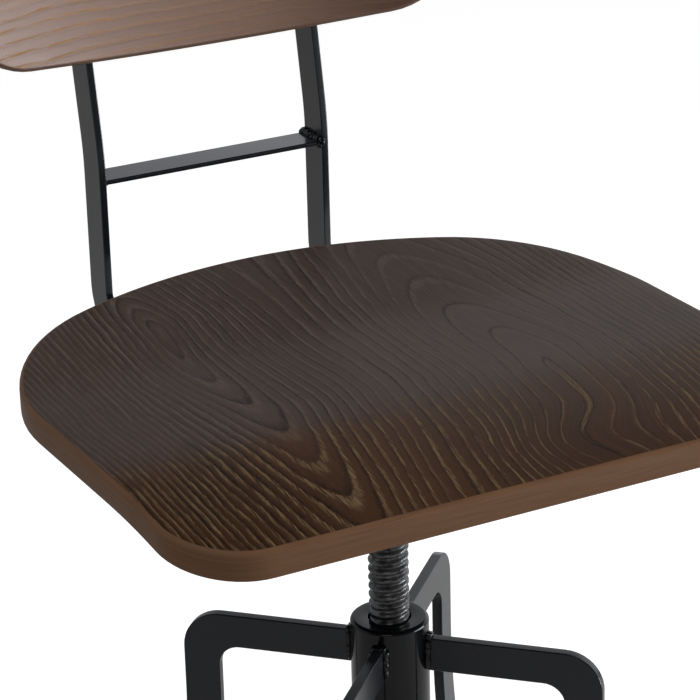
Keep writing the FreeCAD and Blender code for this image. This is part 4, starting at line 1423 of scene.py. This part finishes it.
@dataclass
class ScrewLift:
    """The lift screw, the stop at its lower end and the socket at its top."""

    pitch: float = 6.0 * MM
    depth: float = 1.5 * MM
    groove: float = 0.46
    diameter: float = 25.9 * MM
    sides: int = 72
    steps_per_turn: int = 14
    dents: float = 0.9 * MM
    dent_scale: float = 190.0
    dent_level: float = 0.62
    dent_seed: float = 3.0
    socket_bevel: float = 0.8 * MM
    washer_bevel: float = 0.6 * MM
    bolt_bevel: float = 0.5 * MM
    weld_radius: float = 2.6 * MM
    weld_inset: float = 1.6 * MM
    weld_steps: int = 48

    def __post_init__(self) -> None:
        """Read the swivel axis from the frame."""
        self.axis = Vector((middle_of("lift_screw").x, middle_of("hub_tube").y, 0.0))

    def build(self) -> None:
        """Make the screw and what holds it."""
        self.build_thread()
        socket = bevelled_copy("screw_socket", self.socket_bevel)
        set_piece(socket, Body.SEAT, Slot.STEEL, BLACK_COAT, "screw_socket")
        dress_node("socket_pin", ZINC_PLATE)
        washer = bevelled_copy("stop_washer", self.washer_bevel)
        set_piece(washer, Body.STOP, Slot.ZINC, ZINC_PLATE, "stop_washer")
        bolt = bevelled_copy("stop_bolt", self.bolt_bevel)
        set_piece(bolt, Body.SEAT, Slot.ZINC, ZINC_PLATE, "stop_bolt")
        self.build_weld()

    def build_thread(self) -> None:
        """Cut the thread into a rod, with small dents all over."""
        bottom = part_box("lift_screw")[0].z
        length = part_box("screw_socket")[0].z - bottom
        tree = GeometryTree("screw_thread", {
            "Radius": self.diameter / 2, "Groove Depth": self.depth, "Groove Share": self.groove,
            "Pitch": self.pitch, "Length": length, "Bottom": bottom, "Axis Y": self.axis.y,
            "Dents": self.dents, "Dent Scale": self.dent_scale, "Dent Level": self.dent_level,
            "Seed": self.dent_seed})
        entry = tree.entry
        rod = tree.fed(
            "GeometryNodeMeshCylinder", Vertices=self.sides, Radius=entry["Radius"], Depth=entry["Length"],
            Side_Segments=round(length / self.pitch * self.steps_per_turn))
        place = tree.node("GeometryNodeInputPosition").outputs[0]
        x, y, z = tree.fed("ShaderNodeSeparateXYZ", Vector=place).outputs
        turns = tree.math("DIVIDE", tree.math("ARCTAN2", y, x), FULL_TURN)
        share = tree.math("FRACT", tree.math("SUBTRACT", tree.math("DIVIDE", z, entry["Pitch"]), turns))
        away = tree.math("ABSOLUTE", tree.math("SUBTRACT", share, 0.5))
        groove = tree.span(away, 0.0, entry["Groove Share"], 1.0, 0.0)
        uneven = tree.math("SUBTRACT", tree.lumps(entry["Dent Scale"], 1.0), entry["Dent Level"])
        dent = tree.math("MULTIPLY", uneven, entry["Dents"])
        inward = tree.math("SUBTRACT", dent, tree.math("MULTIPLY", groove, entry["Groove Depth"]))
        flat = tree.fed("ShaderNodeCombineXYZ", X=x, Y=y).outputs[0]
        thread = tree.shifted(rod.outputs[0], flat, tree.math("DIVIDE", inward, entry["Radius"]))
        height = tree.math("ADD", entry["Bottom"], tree.math("MULTIPLY", entry["Length"], 0.5))
        moved = tree.set_down(thread, entry["Axis Y"], height)
        screw = tree.run(moved, OILED_SCREW, "lift_screw_thread")
        set_piece(screw, Body.SEAT, Slot.SCREW, OILED_SCREW, "lift_screw")

    def build_weld(self) -> None:
        """Lay the bead round the socket under the plate."""
        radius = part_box("screw_socket")[1].x + self.weld_inset
        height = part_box("socket_weld")[1].z - self.weld_inset
        turns = [FULL_TURN * i / self.weld_steps for i in range(self.weld_steps + 1)]
        ring = [self.axis + Vector((radius * math.cos(t), radius * math.sin(t), height)) for t in turns]
        bead = weld_bead("socket_weld_bead", [ring], self.weld_radius, seed=4.0)
        set_piece(bead, Body.SEAT, Slot.STEEL, WELD_COAT, "socket_weld")


@dataclass
class SeatFrame:
    """The flat bars under and behind the seat, with their welds and fasteners."""

    bar_bevel: float = 0.8 * MM
    weld_radius: float = 2.6 * MM
    crossbar_weld: float = 2.9 * MM
    tab_weld: float = 2.0 * MM
    weld_sink: float = 0.8 * MM
    weld_gap: float = 10.0 * MM
    left_weld_start: float = 4.0 * MM
    edge: float = 0.5 * MM
    bolt_flats: float = 10.0 * MM
    bolt_head: float = 4.0 * MM
    bolt_diameter: float = 6.0 * MM
    bolt_face: float = 0.46
    bolt_chamfer: float = 0.53
    washer_hole: float = 6.6 * MM
    washer_diameter: float = 14.0 * MM
    screw_head: float = 9.0 * MM
    screw_head_height: float = 3.0 * MM
    screw_diameter: float = 5.0 * MM
    screw_drive: float = 3.0 * MM
    screw_drive_depth: float = 0.6
    screw_dome: float = 0.5
    screw_dome_steps: int = 6

    def build(self) -> None:
        """Make the frame."""
        for node in ("back_upright_left", "back_upright_right", "back_crossbar", "seat_plate",
                     "bracket_left", "bracket_right"):
            piece = bevelled_copy(node, self.bar_bevel)
            set_piece(piece, Body.SEAT, Slot.STEEL, BLACK_COAT, node)
        self.build_welds()
        self.build_seat_bolts()
        self.build_back_screws()
        for node in ("seat_inserts", "back_inserts"):
            dress_node(node, TURNED_BRASS)

    def hexagon(self, turn: float) -> float:
        """How far the bolt head's outline is from its axis."""
        sixth = math.pi / 3
        return self.bolt_flats / 2 / math.cos(turn % sixth - sixth / 2)

    def chamfered(self, turn: float) -> float:
        """The same where the chamfer has cut the head's corners."""
        return min(self.hexagon(turn), self.bolt_chamfer * self.bolt_flats)

    def build_seat_bolts(self) -> None:
        """Set the bolts under the seat and their washers."""
        up = Vector((0.0, 0.0, 1.0))
        spots = [long_part(points)[0] for points in loose_parts("seat_bolts")]
        low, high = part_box("seat_bolts")
        tips = [(Vector((spot.x, spot.y, high.z)), up) for spot in spots]
        length, shank, edge = high.z - low.z, self.bolt_diameter / 2, self.edge
        under_head = self.bolt_head - length
        bolts = Fastener("seat_bolts_set", [
            (0.0, -length), (self.bolt_face * self.bolt_flats, -length), (self.chamfered, edge - length),
            (self.hexagon, 2 * edge - length), (self.hexagon, under_head), (shank, under_head),
            (shank, -2 * edge), (shank - edge, 0.0), (0.0, 0.0)], sides=48, seed=7.0)
        set_piece(bolts.set_at(tips, ZINC_PLATE), Body.SEAT, Slot.ZINC, ZINC_PLATE, "seat_bolts")
        low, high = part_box("seat_washers")
        thick, bevel = high.z - low.z, edge / 2
        hole, rim = self.washer_hole / 2, self.washer_diameter / 2
        washers = Fastener("seat_washers_set", [
            (hole, -thick), (rim - bevel, -thick), (rim, bevel - thick), (rim, -bevel), (rim - bevel, 0.0),
            (hole, 0.0)], sides=40, seed=8.0)
        tops = [(Vector((spot.x, spot.y, high.z)), up) for spot in spots]
        set_piece(washers.set_at(tops, ZINC_PLATE), Body.SEAT, Slot.ZINC, ZINC_PLATE, "seat_washers")

    def build_back_screws(self) -> None:
        """Set the pan-head screws behind the backrest, each with a socket in its head."""
        solids = loose_parts("back_screws")
        lines = [long_part(points) for points in solids]
        places = [(tip, (tip - middle).normalized()) for middle, tip in lines]
        tip, axis = places[0]
        length = max((tip - point).dot(axis) for point in solids[0])
        head, shank, drive = self.screw_head / 2, self.screw_diameter / 2, self.screw_drive / 2
        tall, edge = self.screw_head_height, self.edge
        under_head = tall - length
        drive_floor = self.screw_drive_depth * tall - length
        bulge = self.screw_dome * tall
        turns = [QUARTER_TURN * i / self.screw_dome_steps for i in range(self.screw_dome_steps + 1)]
        dome = [(head - bulge * (1 - math.sin(t)), -length + bulge * (1 - math.cos(t))) for t in turns]
        screws = Fastener("back_screws_set", [
            (0.0, drive_floor), (drive, drive_floor), (drive, edge / 2 - length),
            (drive + edge / 2, -length), *dome, (head, under_head), (shank, under_head),
            (shank, -2 * edge), (shank - edge, 0.0), (0.0, 0.0)], sides=36, seed=9.0)
        piece = screws.set_at(places, BLACK_SCREW)
        set_piece(piece, Body.SEAT, Slot.BLACK_SCREW, BLACK_SCREW, "back_screws")

    def build_welds(self) -> None:
        """Lay the beads at the crossbar's ends, under the plate and behind the tabs."""
        tab_lines = [long_part(points) for points in loose_parts("bracket_welds")]
        tab_paths = [[end, 2 * middle - end] for middle, end in tab_lines]
        for node, paths, radius, seed in (
                ("crossbar_weld", self.crossbar_beads(), self.crossbar_weld, 5.0),
                ("plate_weld", self.plate_beads(), self.weld_radius, 6.0),
                ("bracket_weld", tab_paths, self.tab_weld, 8.0)):
            bead = weld_bead(f"{node}_beads", paths, radius, seed)
            set_piece(bead, Body.SEAT, Slot.STEEL, WELD_COAT, f"{node}s")

    def crossbar_beads(self) -> list[list[Vector]]:
        """A short bead under the crossbar's left end, and one all round its right end.

        Returns:
            The points of each bead.
        """
        low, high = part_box("back_crossbar")
        left, right = low.x + self.weld_sink, high.x - self.weld_sink
        corners = ((low.y, low.z), (high.y, low.z), (high.y, high.z), (low.y, high.z), (low.y, low.z))
        return [
            [Vector((left, low.y + self.left_weld_start, low.z)), Vector((left, high.y, low.z))],
            [Vector((right, y, z)) for y, z in corners]]

    def plate_beads(self) -> list[list[Vector]]:
        """Two beads along each side of the plate, with a gap between them.

        Returns:
            The points of each bead.
        """
        low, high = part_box("plate_welds")
        middle = (low.y + high.y) / 2
        height = high.z - self.weld_sink
        stretches = ((low.y, middle - self.weld_gap), (middle + self.weld_gap, high.y))
        return [
            [Vector((x, y, height)) for y in stretch]
            for x in (low.x + self.weld_sink, high.x - self.weld_sink) for stretch in stretches]


@dataclass(frozen=True)
class RimPoint:
    """A point of a board's outline and the direction straight out of it."""

    place: Spot
    out: Spot

    def inset(self, distance: float) -> Spot:
        """The point that lies this far inside the outline."""
        return (self.place[0] - self.out[0] * distance, self.place[1] - self.out[1] * distance)


def arc_points(centre: Spot, radius: float, start: float, end: float, count: int) -> list[RimPoint]:
    """Points along an arc of an outline.

    Args:
        centre: The arc's centre.
        radius: Its radius.
        start: Its first angle, in degrees.
        end: Its last angle, in degrees.
        count: How many steps it has.

    Returns:
        The points, both ends included.
    """
    points = []
    for i in range(count + 1):
        turn = math.radians(start + (end - start) * i / count)
        out = (math.cos(turn), math.sin(turn))
        points.append(RimPoint((centre[0] + radius * out[0], centre[1] + radius * out[1]), out))
    return points


def line_points(first: RimPoint, last: RimPoint, count: int) -> list[RimPoint]:
    """Points along a straight stretch of an outline, without its ends.

    Args:
        first: The point before the stretch.
        last: The point after it.
        count: How many steps it has.

    Returns:
        The points between the two.
    """
    return [
        RimPoint(tuple(a + (b - a) * i / count for a, b in zip(first.place, last.place)), first.out)
        for i in range(1, count)]


def mirrored(points: Iterable[RimPoint]) -> list[RimPoint]:
    """The same points on the other side of the middle."""
    return [RimPoint((-p.place[0], p.place[1]), (-p.out[0], p.out[1])) for p in points]


@dataclass
class BentBoard:
    """A bent plywood board with a rounded rim, as one grid on each face and a skin round its rim."""

    name: str
    first_row: list[RimPoint]
    last_row: list[RimPoint]
    left: list[RimPoint]
    right: list[RimPoint]
    thickness: float
    rounding: float
    bend: Callable[[float, float, float], Vector]
    round_steps: int = 5

    def __post_init__(self) -> None:
        """Start an empty mesh and the marks that its points carry."""
        self.work = bmesh.new()
        self.marks: dict[str, list[float]] = {"rim": [], "ply_share": []}

    def sections(self) -> list[tuple[float, float]]:
        """The lines that run round the rim.

        Returns:
            How far inside the outline, and how far up the thickness, each line runs.
        """
        turns = [QUARTER_TURN * i / self.round_steps for i in range(self.round_steps + 1)]
        low = [(self.rounding * (1 - math.sin(t)), self.rounding * (1 - math.cos(t)) / self.thickness)
               for t in turns]
        return low + [(inset, 1.0 - share) for inset, share in reversed(low)]

    def add(self, spot: Spot, share: float, rim: float) -> bmesh.types.BMVert:
        """Add one point.

        Args:
            spot: Its place on the flat board.
            share: How far up the thickness it lies.
            rim: 1 on the rim and 0 on a face.

        Returns:
            The new point.
        """
        self.marks["rim"].append(rim)
        self.marks["ply_share"].append(share)
        return self.work.verts.new(self.bend(spot[0], spot[1], share))

    def build(self) -> bpy.types.Object:
        """Make the board.

        Returns:
            The board as a plain mesh that carries its rim and its plies as attributes.
        """
        work = self.work
        loop = self.first_row + self.right + self.last_row[::-1] + self.left[::-1]
        sections = self.sections()
        rings = []
        for index, (inset, share) in enumerate(sections):
            rim = 0.0 if index in (0, len(sections) - 1) else 1.0
            rings.append([self.add(point.inset(inset), share, rim) for point in loop])
        for lower, upper in zip(rings, rings[1:]):
            for i in range(len(loop)):
                j = (i + 1) % len(loop)
                work.faces.new((lower[i], lower[j], upper[j], upper[i]))
        self.fill(rings[0], 0.0)
        self.fill(rings[-1], 1.0)
        bmesh.ops.recalc_face_normals(work, faces=work.faces)
        mesh = bpy.data.meshes.new(self.name)
        work.to_mesh(mesh)
        work.free()
        for title, marks in self.marks.items():
            mesh.attributes.new(title, "FLOAT", "POINT").data.foreach_set("value", marks)
        mesh.shade_smooth()
        return new_object(self.name, mesh)

    def fill(self, ring: list[bmesh.types.BMVert], share: float) -> None:
        """Fill one face of the board with a grid of rows.

        Args:
            ring: The face's outline, in the order of the loop.
            share: 0 for the lower face and 1 for the upper.
        """
        columns, depth = len(self.first_row) - 1, len(self.right)
        first = ring[:columns + 1]
        right = ring[columns + 1:columns + 1 + depth]
        last = ring[columns + 1 + depth:2 * columns + 2 + depth][::-1]
        left = ring[2 * columns + 2 + depth:][::-1]
        grid = [first]
        for i in range(depth):
            a, b = self.left[i].inset(self.rounding), self.right[i].inset(self.rounding)
            spots = [(a[0] + (b[0] - a[0]) * j / columns, a[1] + (b[1] - a[1]) * j / columns)
                     for j in range(1, columns)]
            grid.append([left[i], *[self.add(spot, share, 0.0) for spot in spots], right[i]])
        grid.append(last)
        for near, far in zip(grid, grid[1:]):
            for j in range(columns):
                corners = (near[j], near[j + 1], far[j + 1], far[j])
                self.work.faces.new(corners if share == 1.0 else corners[::-1])


@dataclass
class Seat:
    """The bent seat board."""

    thickness: float = 18.0 * MM
    rounding: float = 3.0 * MM
    front_corner: float = 48.4 * MM
    shoulder: float = 135.0 * MM
    crown_slope: float = 21.7
    crown_straight: float = 4.0 * MM
    front_bend: float = 127.0 * MM
    front_radius: float = 600.0 * MM
    front_tilt: float = 12.0
    rear_bend: float = 64.0 * MM
    rear_radius: float = 345.0 * MM
    rear_tilt: float = 6.0
    columns: int = 48
    corner_steps: int = 14
    side_steps: int = 14
    shoulder_steps: int = 16
    straight_steps: int = 2
    crown_steps: int = 22
    crown_middle: float = 1.6

    def __post_init__(self) -> None:
        """Read the seat's place from the frame."""
        low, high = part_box("seat")
        self.axis_y = middle_of("hub_tube").y
        self.half_width = (high.x - low.x) / 2
        self.front = self.axis_y - low.y
        self.back = high.y - self.axis_y
        self.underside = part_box("seat_plate")[1].z

    def height(self, y: float, share: float) -> float:
        """Height above the flat underside.

        Args:
            y: Distance behind the swivel axis.
            share: 0 for the underside and 1 for the top.

        Returns:
            The height.
        """
        heights = []
        for level, front_radius, rear_radius in (
                (0.0, self.front_radius - self.thickness, self.rear_radius + self.thickness),
                (self.thickness, self.front_radius, self.rear_radius)):
            flat_front = self.front_bend - self.front_radius * math.tan(math.radians(self.front_tilt / 2))
            flat_rear = self.rear_bend - self.rear_radius * math.tan(math.radians(self.rear_tilt / 2))
            drop = self.bent(-y - flat_front, front_radius, self.front_tilt)
            rise = self.bent(y - flat_rear, rear_radius, self.rear_tilt)
            heights.append(level - drop + rise)
        return heights[0] * (1 - share) + heights[1] * share

    @staticmethod
    def bent(run: float, radius: float, tilt: float) -> float:
        """How far a bend has left the flat, after a run along it.

        Args:
            run: Distance past the start of the bend.
            radius: The bend's radius.
            tilt: The slope after the bend, in degrees.

        Returns:
            The distance from the flat.
        """
        turn = math.radians(tilt)
        end = radius * math.sin(turn)
        if run <= 0.0:
            return 0.0
        if run < end:
            return radius - math.sqrt(radius ** 2 - run ** 2)
        return radius * (1 - math.cos(turn)) + (run - end) * math.tan(turn)

    def bend(self, x: float, y: float, share: float) -> Vector:
        """Where a point of the flat outline goes on the bent board."""
        return Vector((x, self.axis_y + y, self.underside + self.height(y, share)))

    def build(self) -> None:
        """Make the seat."""
        slope = math.radians(self.crown_slope)
        wide, corner, shoulder = self.half_width, self.front_corner, self.shoulder
        crown = (wide / math.cos(slope) - self.crown_straight
                 - shoulder * math.tan(math.pi / 4 - slope / 2)) / math.tan(slope)
        peak = self.back + crown * (1 / math.cos(slope) - 1)
        shoulder_y = peak - wide * math.tan(slope) - shoulder * math.tan(math.pi / 4 - slope / 2)
        crown_start, crown_end = 90 - self.crown_slope, 90 - self.crown_middle
        crown_centre = (0.0, self.back - crown)
        corner_arc = arc_points((wide - corner, -self.front + corner), corner, -90, 0, self.corner_steps)
        shoulder_arc = arc_points(
            (wide - shoulder, shoulder_y), shoulder, 0, crown_start, self.shoulder_steps)
        crown_arc = arc_points(crown_centre, crown, crown_start, crown_end, self.crown_steps)
        side = corner_arc + line_points(corner_arc[-1], shoulder_arc[0], self.side_steps) + shoulder_arc
        side += line_points(shoulder_arc[-1], crown_arc[0], self.straight_steps) + crown_arc
        front_left, front_right = mirrored(side[:1])[0], side[0]
        first = [front_left, *line_points(front_left, front_right, self.columns), front_right]
        last_arc = arc_points(crown_centre, crown, 180 - crown_end, crown_end, self.columns)
        board = BentBoard("seat_board", first, last_arc, mirrored(side[1:-1]), side[1:-1],
                          self.thickness, self.rounding, self.bend)
        set_piece(board.build(), Body.SEAT, Slot.SEAT_WOOD, SEAT_VENEER, "seat")


@dataclass
class Backrest:
    """The bent backrest board."""

    thickness: float = 11.0 * MM
    rounding: float = 3.0 * MM
    radius: float = 600.0 * MM
    half_width: float = 180.0 * MM
    height: float = 152.0 * MM
    low_rise: float = 8.0 * MM
    top_drop: float = 16.0 * MM
    low_round: float = 2500.0 * MM
    top_round: float = 900.0 * MM
    corner: float = 52.0 * MM
    lean: float = 10.0
    rows: int = 12
    corner_steps: int = 12
    line_steps: int = 10
    middle_steps: int = 10

    def __post_init__(self) -> None:
        """Read the backrest's place from the frame: it meets the tabs and leans with the uprights."""
        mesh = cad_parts["backrest"].data
        self.turn = Matrix.Rotation(-math.radians(self.lean), 3, "X")
        flat = [self.turn.transposed() @ vertex.co for vertex in mesh.vertices]
        self.back = max(point.y for point in flat)
        lowest = min(point.z for point in flat)
        sag = self.low_round * (1 / math.cos(math.atan(self.low_rise / self.half_width)) - 1)
        self.low = lowest - sag

    def bend(self, x: float, up: float, share: float) -> Vector:
        """Where a point of the flat outline goes on the bent and leaning board.

        Args:
            x: Distance to the right of the middle.
            up: Height above the lower edge's middle.
            share: 0 for the front and 1 for the back.

        Returns:
            The point.
        """
        outer = self.radius + self.thickness
        reach = self.radius + self.thickness * share
        deep = self.back - outer + math.sqrt(reach ** 2 - x ** 2)
        return self.turn @ Vector((x, deep, self.low + up))

    def edge(
            self, corner_height: float, end_height: float, round_radius: float,
            top: bool) -> list[RimPoint]:
        """Half of the upper or lower edge, from the side's straight stretch to the middle.

        Args:
            corner_height: Height of the corner before it is rounded.
            end_height: Height of the middle before it is rounded.
            round_radius: The middle's rounding.
            top: Whether it is the upper edge.

        Returns:
            The points on the right half.
        """
        slope = math.degrees(math.atan2(abs(corner_height - end_height), self.half_width))
        sign = 1 if top else -1
        tangent = self.corner * math.tan(math.radians(90 - slope) / 2)
        centre = (self.half_width - self.corner, corner_height - sign * tangent)
        meeting = sign * (90 - slope)
        round_corner = arc_points(centre, self.corner, 0, meeting, self.corner_steps)
        drop = round_radius / math.cos(math.radians(slope))
        middle_centre = (0.0, end_height - sign * drop)
        middle = arc_points(middle_centre, round_radius, meeting, sign * 90, self.middle_steps)
        return round_corner + line_points(round_corner[-1], middle[0], self.line_steps) + middle

    def build(self) -> None:
        """Make the backrest."""
        top = self.edge(self.height - self.top_drop, self.height, self.top_round, True)
        low = self.edge(self.low_rise, 0.0, self.low_round, False)
        over = mirrored(top) + top[-2::-1]
        under = mirrored(low) + low[-2::-1]
        first = [under[0], *line_points(under[0], over[0], self.rows), over[0]]
        last = [under[-1], *line_points(under[-1], over[-1], self.rows), over[-1]]
        board = BentBoard("backrest_board", first, last, under[1:-1], over[1:-1],
                          self.thickness, self.rounding, self.bend)
        set_piece(board.build(), Body.SEAT, Slot.BACK_WOOD, BACK_VENEER, "backrest")


@dataclass
class Lamp:
    """A soft box light, which may be left out of the surfaces' own light or of their reflections."""

    name: str
    place: Spot
    height: float
    width: float
    tall: float
    power: float
    lights: bool = True
    mirrors: bool = True


@dataclass
class Studio:
    """Floor, light and camera."""

    image_size: float = 700.0
    focal_pixels: float = 2893.6
    camera_place: tuple[float, float, float] = (-0.7836, -1.4839, 1.3809)
    azimuth: float = -27.97
    elevation: float = 21.78
    roll: float = -1.478
    sensor: float = 36.0
    target: tuple[float, float, float] = (0.0, 0.0, 0.68)
    lamps: tuple[Lamp, ...] = (
        Lamp("key_box", (2.6, -1.4), 1.1, 1.9, 1.9, 108.0, mirrors=False),
        Lamp("low_box", (2.6, -1.4), 0.35, 1.9, 0.8, 88.0, lights=False),
        Lamp("top_box", (-1.0, -0.3), 2.8, 1.6, 1.6, 22.0),
        Lamp("fill_box", (-1.6, -2.2), 1.5, 1.4, 1.4, 7.0),
    )
    floor_half: float = 14.0
    floor_grey: float = 0.6
    floor_rough: float = 0.9
    floor_gloss: float = 0.14
    floor_white: float = 0.75
    floor_near: float = 0.45
    near_stretch: Stretch = (0.45, 1.1)
    wall_gloss: Colour = (0.88, 0.91, 0.96)
    front_gloss: float = 0.2
    front_turn: Stretch = (-0.3, 0.3)
    right_gain: Stretch = (0.62, 1.55)
    right_turn: Stretch = (0.3, 0.62)
    ceiling_gloss: float = 0.12
    wall_top: Stretch = (0.42, 0.6)
    ambient: float = 0.28

    def build(self) -> None:
        """Set up the whole studio."""
        self.build_floor()
        self.build_world()
        for lamp in self.lamps:
            self.build_lamp(lamp)
        self.build_camera()
        bpy.context.scene.view_settings.view_transform = "Standard"

    def build_floor(self) -> None:
        """A pale floor that keeps the chair's shadow and looks white to the camera where it is lit."""
        half = self.floor_half
        mesh = bpy.data.meshes.new("floor")
        corners = [(-half, -half, 0), (half, -half, 0), (half, half, 0), (-half, half, 0)]
        mesh.from_pydata(corners, [], [(0, 1, 2, 3)])
        floor = new_object("floor", mesh)
        material, graph, shader = new_material("pale_floor")
        shader.inputs["Roughness"].default_value = self.floor_rough
        shader.inputs["Specular IOR Level"].default_value = 0.0
        shader.inputs["Base Color"].default_value = (*(self.floor_grey,) * 3, 1.0)
        graph.feed(shader.inputs["Emission Color"], (1.0, 1.0, 1.0, 1.0))
        path = graph.node("ShaderNodeLightPath").outputs
        seen = graph.math("MAXIMUM", path["Is Camera Ray"], path["Is Transmission Ray"])
        away = graph.node("ShaderNodeVectorMath", operation="LENGTH")
        graph.feed(away.inputs[0], graph.object_place())
        white = graph.span(away.outputs["Value"], *self.near_stretch, self.floor_near, self.floor_white)
        glossy = graph.math("MULTIPLY", path["Is Glossy Ray"], self.floor_gloss)
        graph.feed(shader.inputs["Emission Strength"], graph.math("MULTIPLY_ADD", seen, white, glossy))
        mesh.materials.append(material)

    def build_world(self) -> None:
        """White walls and a dark ceiling in reflections, white to the camera, and an even soft light."""
        world = bpy.data.worlds.new("studio")
        bpy.context.scene.world = world
        world.use_nodes = True
        graph = Graph(world.node_tree)
        path = graph.node("ShaderNodeLightPath").outputs
        parts = graph.node("ShaderNodeSeparateXYZ")
        graph.feed(parts.inputs[0], graph.node("ShaderNodeTexCoord").outputs["Generated"])
        low = graph.span(parts.outputs["Z"], *self.wall_top, 1.0, self.ceiling_gloss)
        behind = graph.span(parts.outputs["Y"], *self.front_turn, self.front_gloss, 1.0)
        rightward = graph.span(parts.outputs["X"], *self.right_turn, *self.right_gain)
        wall = graph.math("MULTIPLY", graph.math("MULTIPLY", low, behind), rightward)
        mirrored_light = graph.scaled(self.wall_gloss, wall)
        light = graph.mix(path["Is Glossy Ray"], (self.ambient,) * 3, mirrored_light)
        seen = graph.math("MAXIMUM", path["Is Camera Ray"], path["Is Transmission Ray"])
        sky = world.node_tree.nodes["Background"]
        graph.feed(sky.inputs["Color"], graph.mix(seen, light, (1.0, 1.0, 1.0)))
        sky.inputs["Strength"].default_value = 1.0

    def build_lamp(self, lamp: Lamp) -> None:
        """Hang one soft box and turn it to the chair.

        Args:
            lamp: The soft box.
        """
        light = bpy.data.lights.new(lamp.name, "AREA")
        light.shape = "RECTANGLE"
        light.size = lamp.width
        light.size_y = lamp.tall
        light.energy = lamp.power
        obj = bpy.data.objects.new(lamp.name, light)
        bpy.context.scene.collection.objects.link(obj)
        obj.location = (*lamp.place, lamp.height)
        obj.visible_diffuse = lamp.lights
        obj.visible_glossy = lamp.mirrors
        aim = Vector(self.target) - obj.location
        obj.rotation_euler = aim.to_track_quat("-Z", "Y").to_euler()

    def build_camera(self) -> None:
        """Stand the camera where the photograph was taken from."""
        turn, rise, roll = (math.radians(a) for a in (self.azimuth, self.elevation, self.roll))
        back = Vector((math.sin(turn) * math.cos(rise), -math.cos(turn) * math.cos(rise), math.sin(rise)))
        right = Vector((math.cos(turn), math.sin(turn), 0.0))
        up = back.cross(right)
        rolled_right = right * math.cos(roll) + up * math.sin(roll)
        rolled_up = up * math.cos(roll) - right * math.sin(roll)
        camera = bpy.data.cameras.new("camera")
        camera.sensor_width = self.sensor
        camera.lens = self.sensor * self.focal_pixels / self.image_size
        obj = bpy.data.objects.new("camera", camera)
        bpy.context.scene.collection.objects.link(obj)
        facing = Matrix((rolled_right, rolled_up, back)).transposed().to_4x4()
        obj.matrix_world = Matrix.Translation(Vector(self.camera_place)) @ facing
        bpy.context.scene.camera = obj


def main() -> None:
    """Build the chair piece by piece, then the studio round it."""
    logging.basicConfig(level=logging.INFO, format="%(name)s %(message)s")
    SteelBase().build()
    ScrewLift().build()
    SeatFrame().build()
    Seat().build()
    Backrest().build()
    Studio().build()


if __name__ == "__main__":
    main()
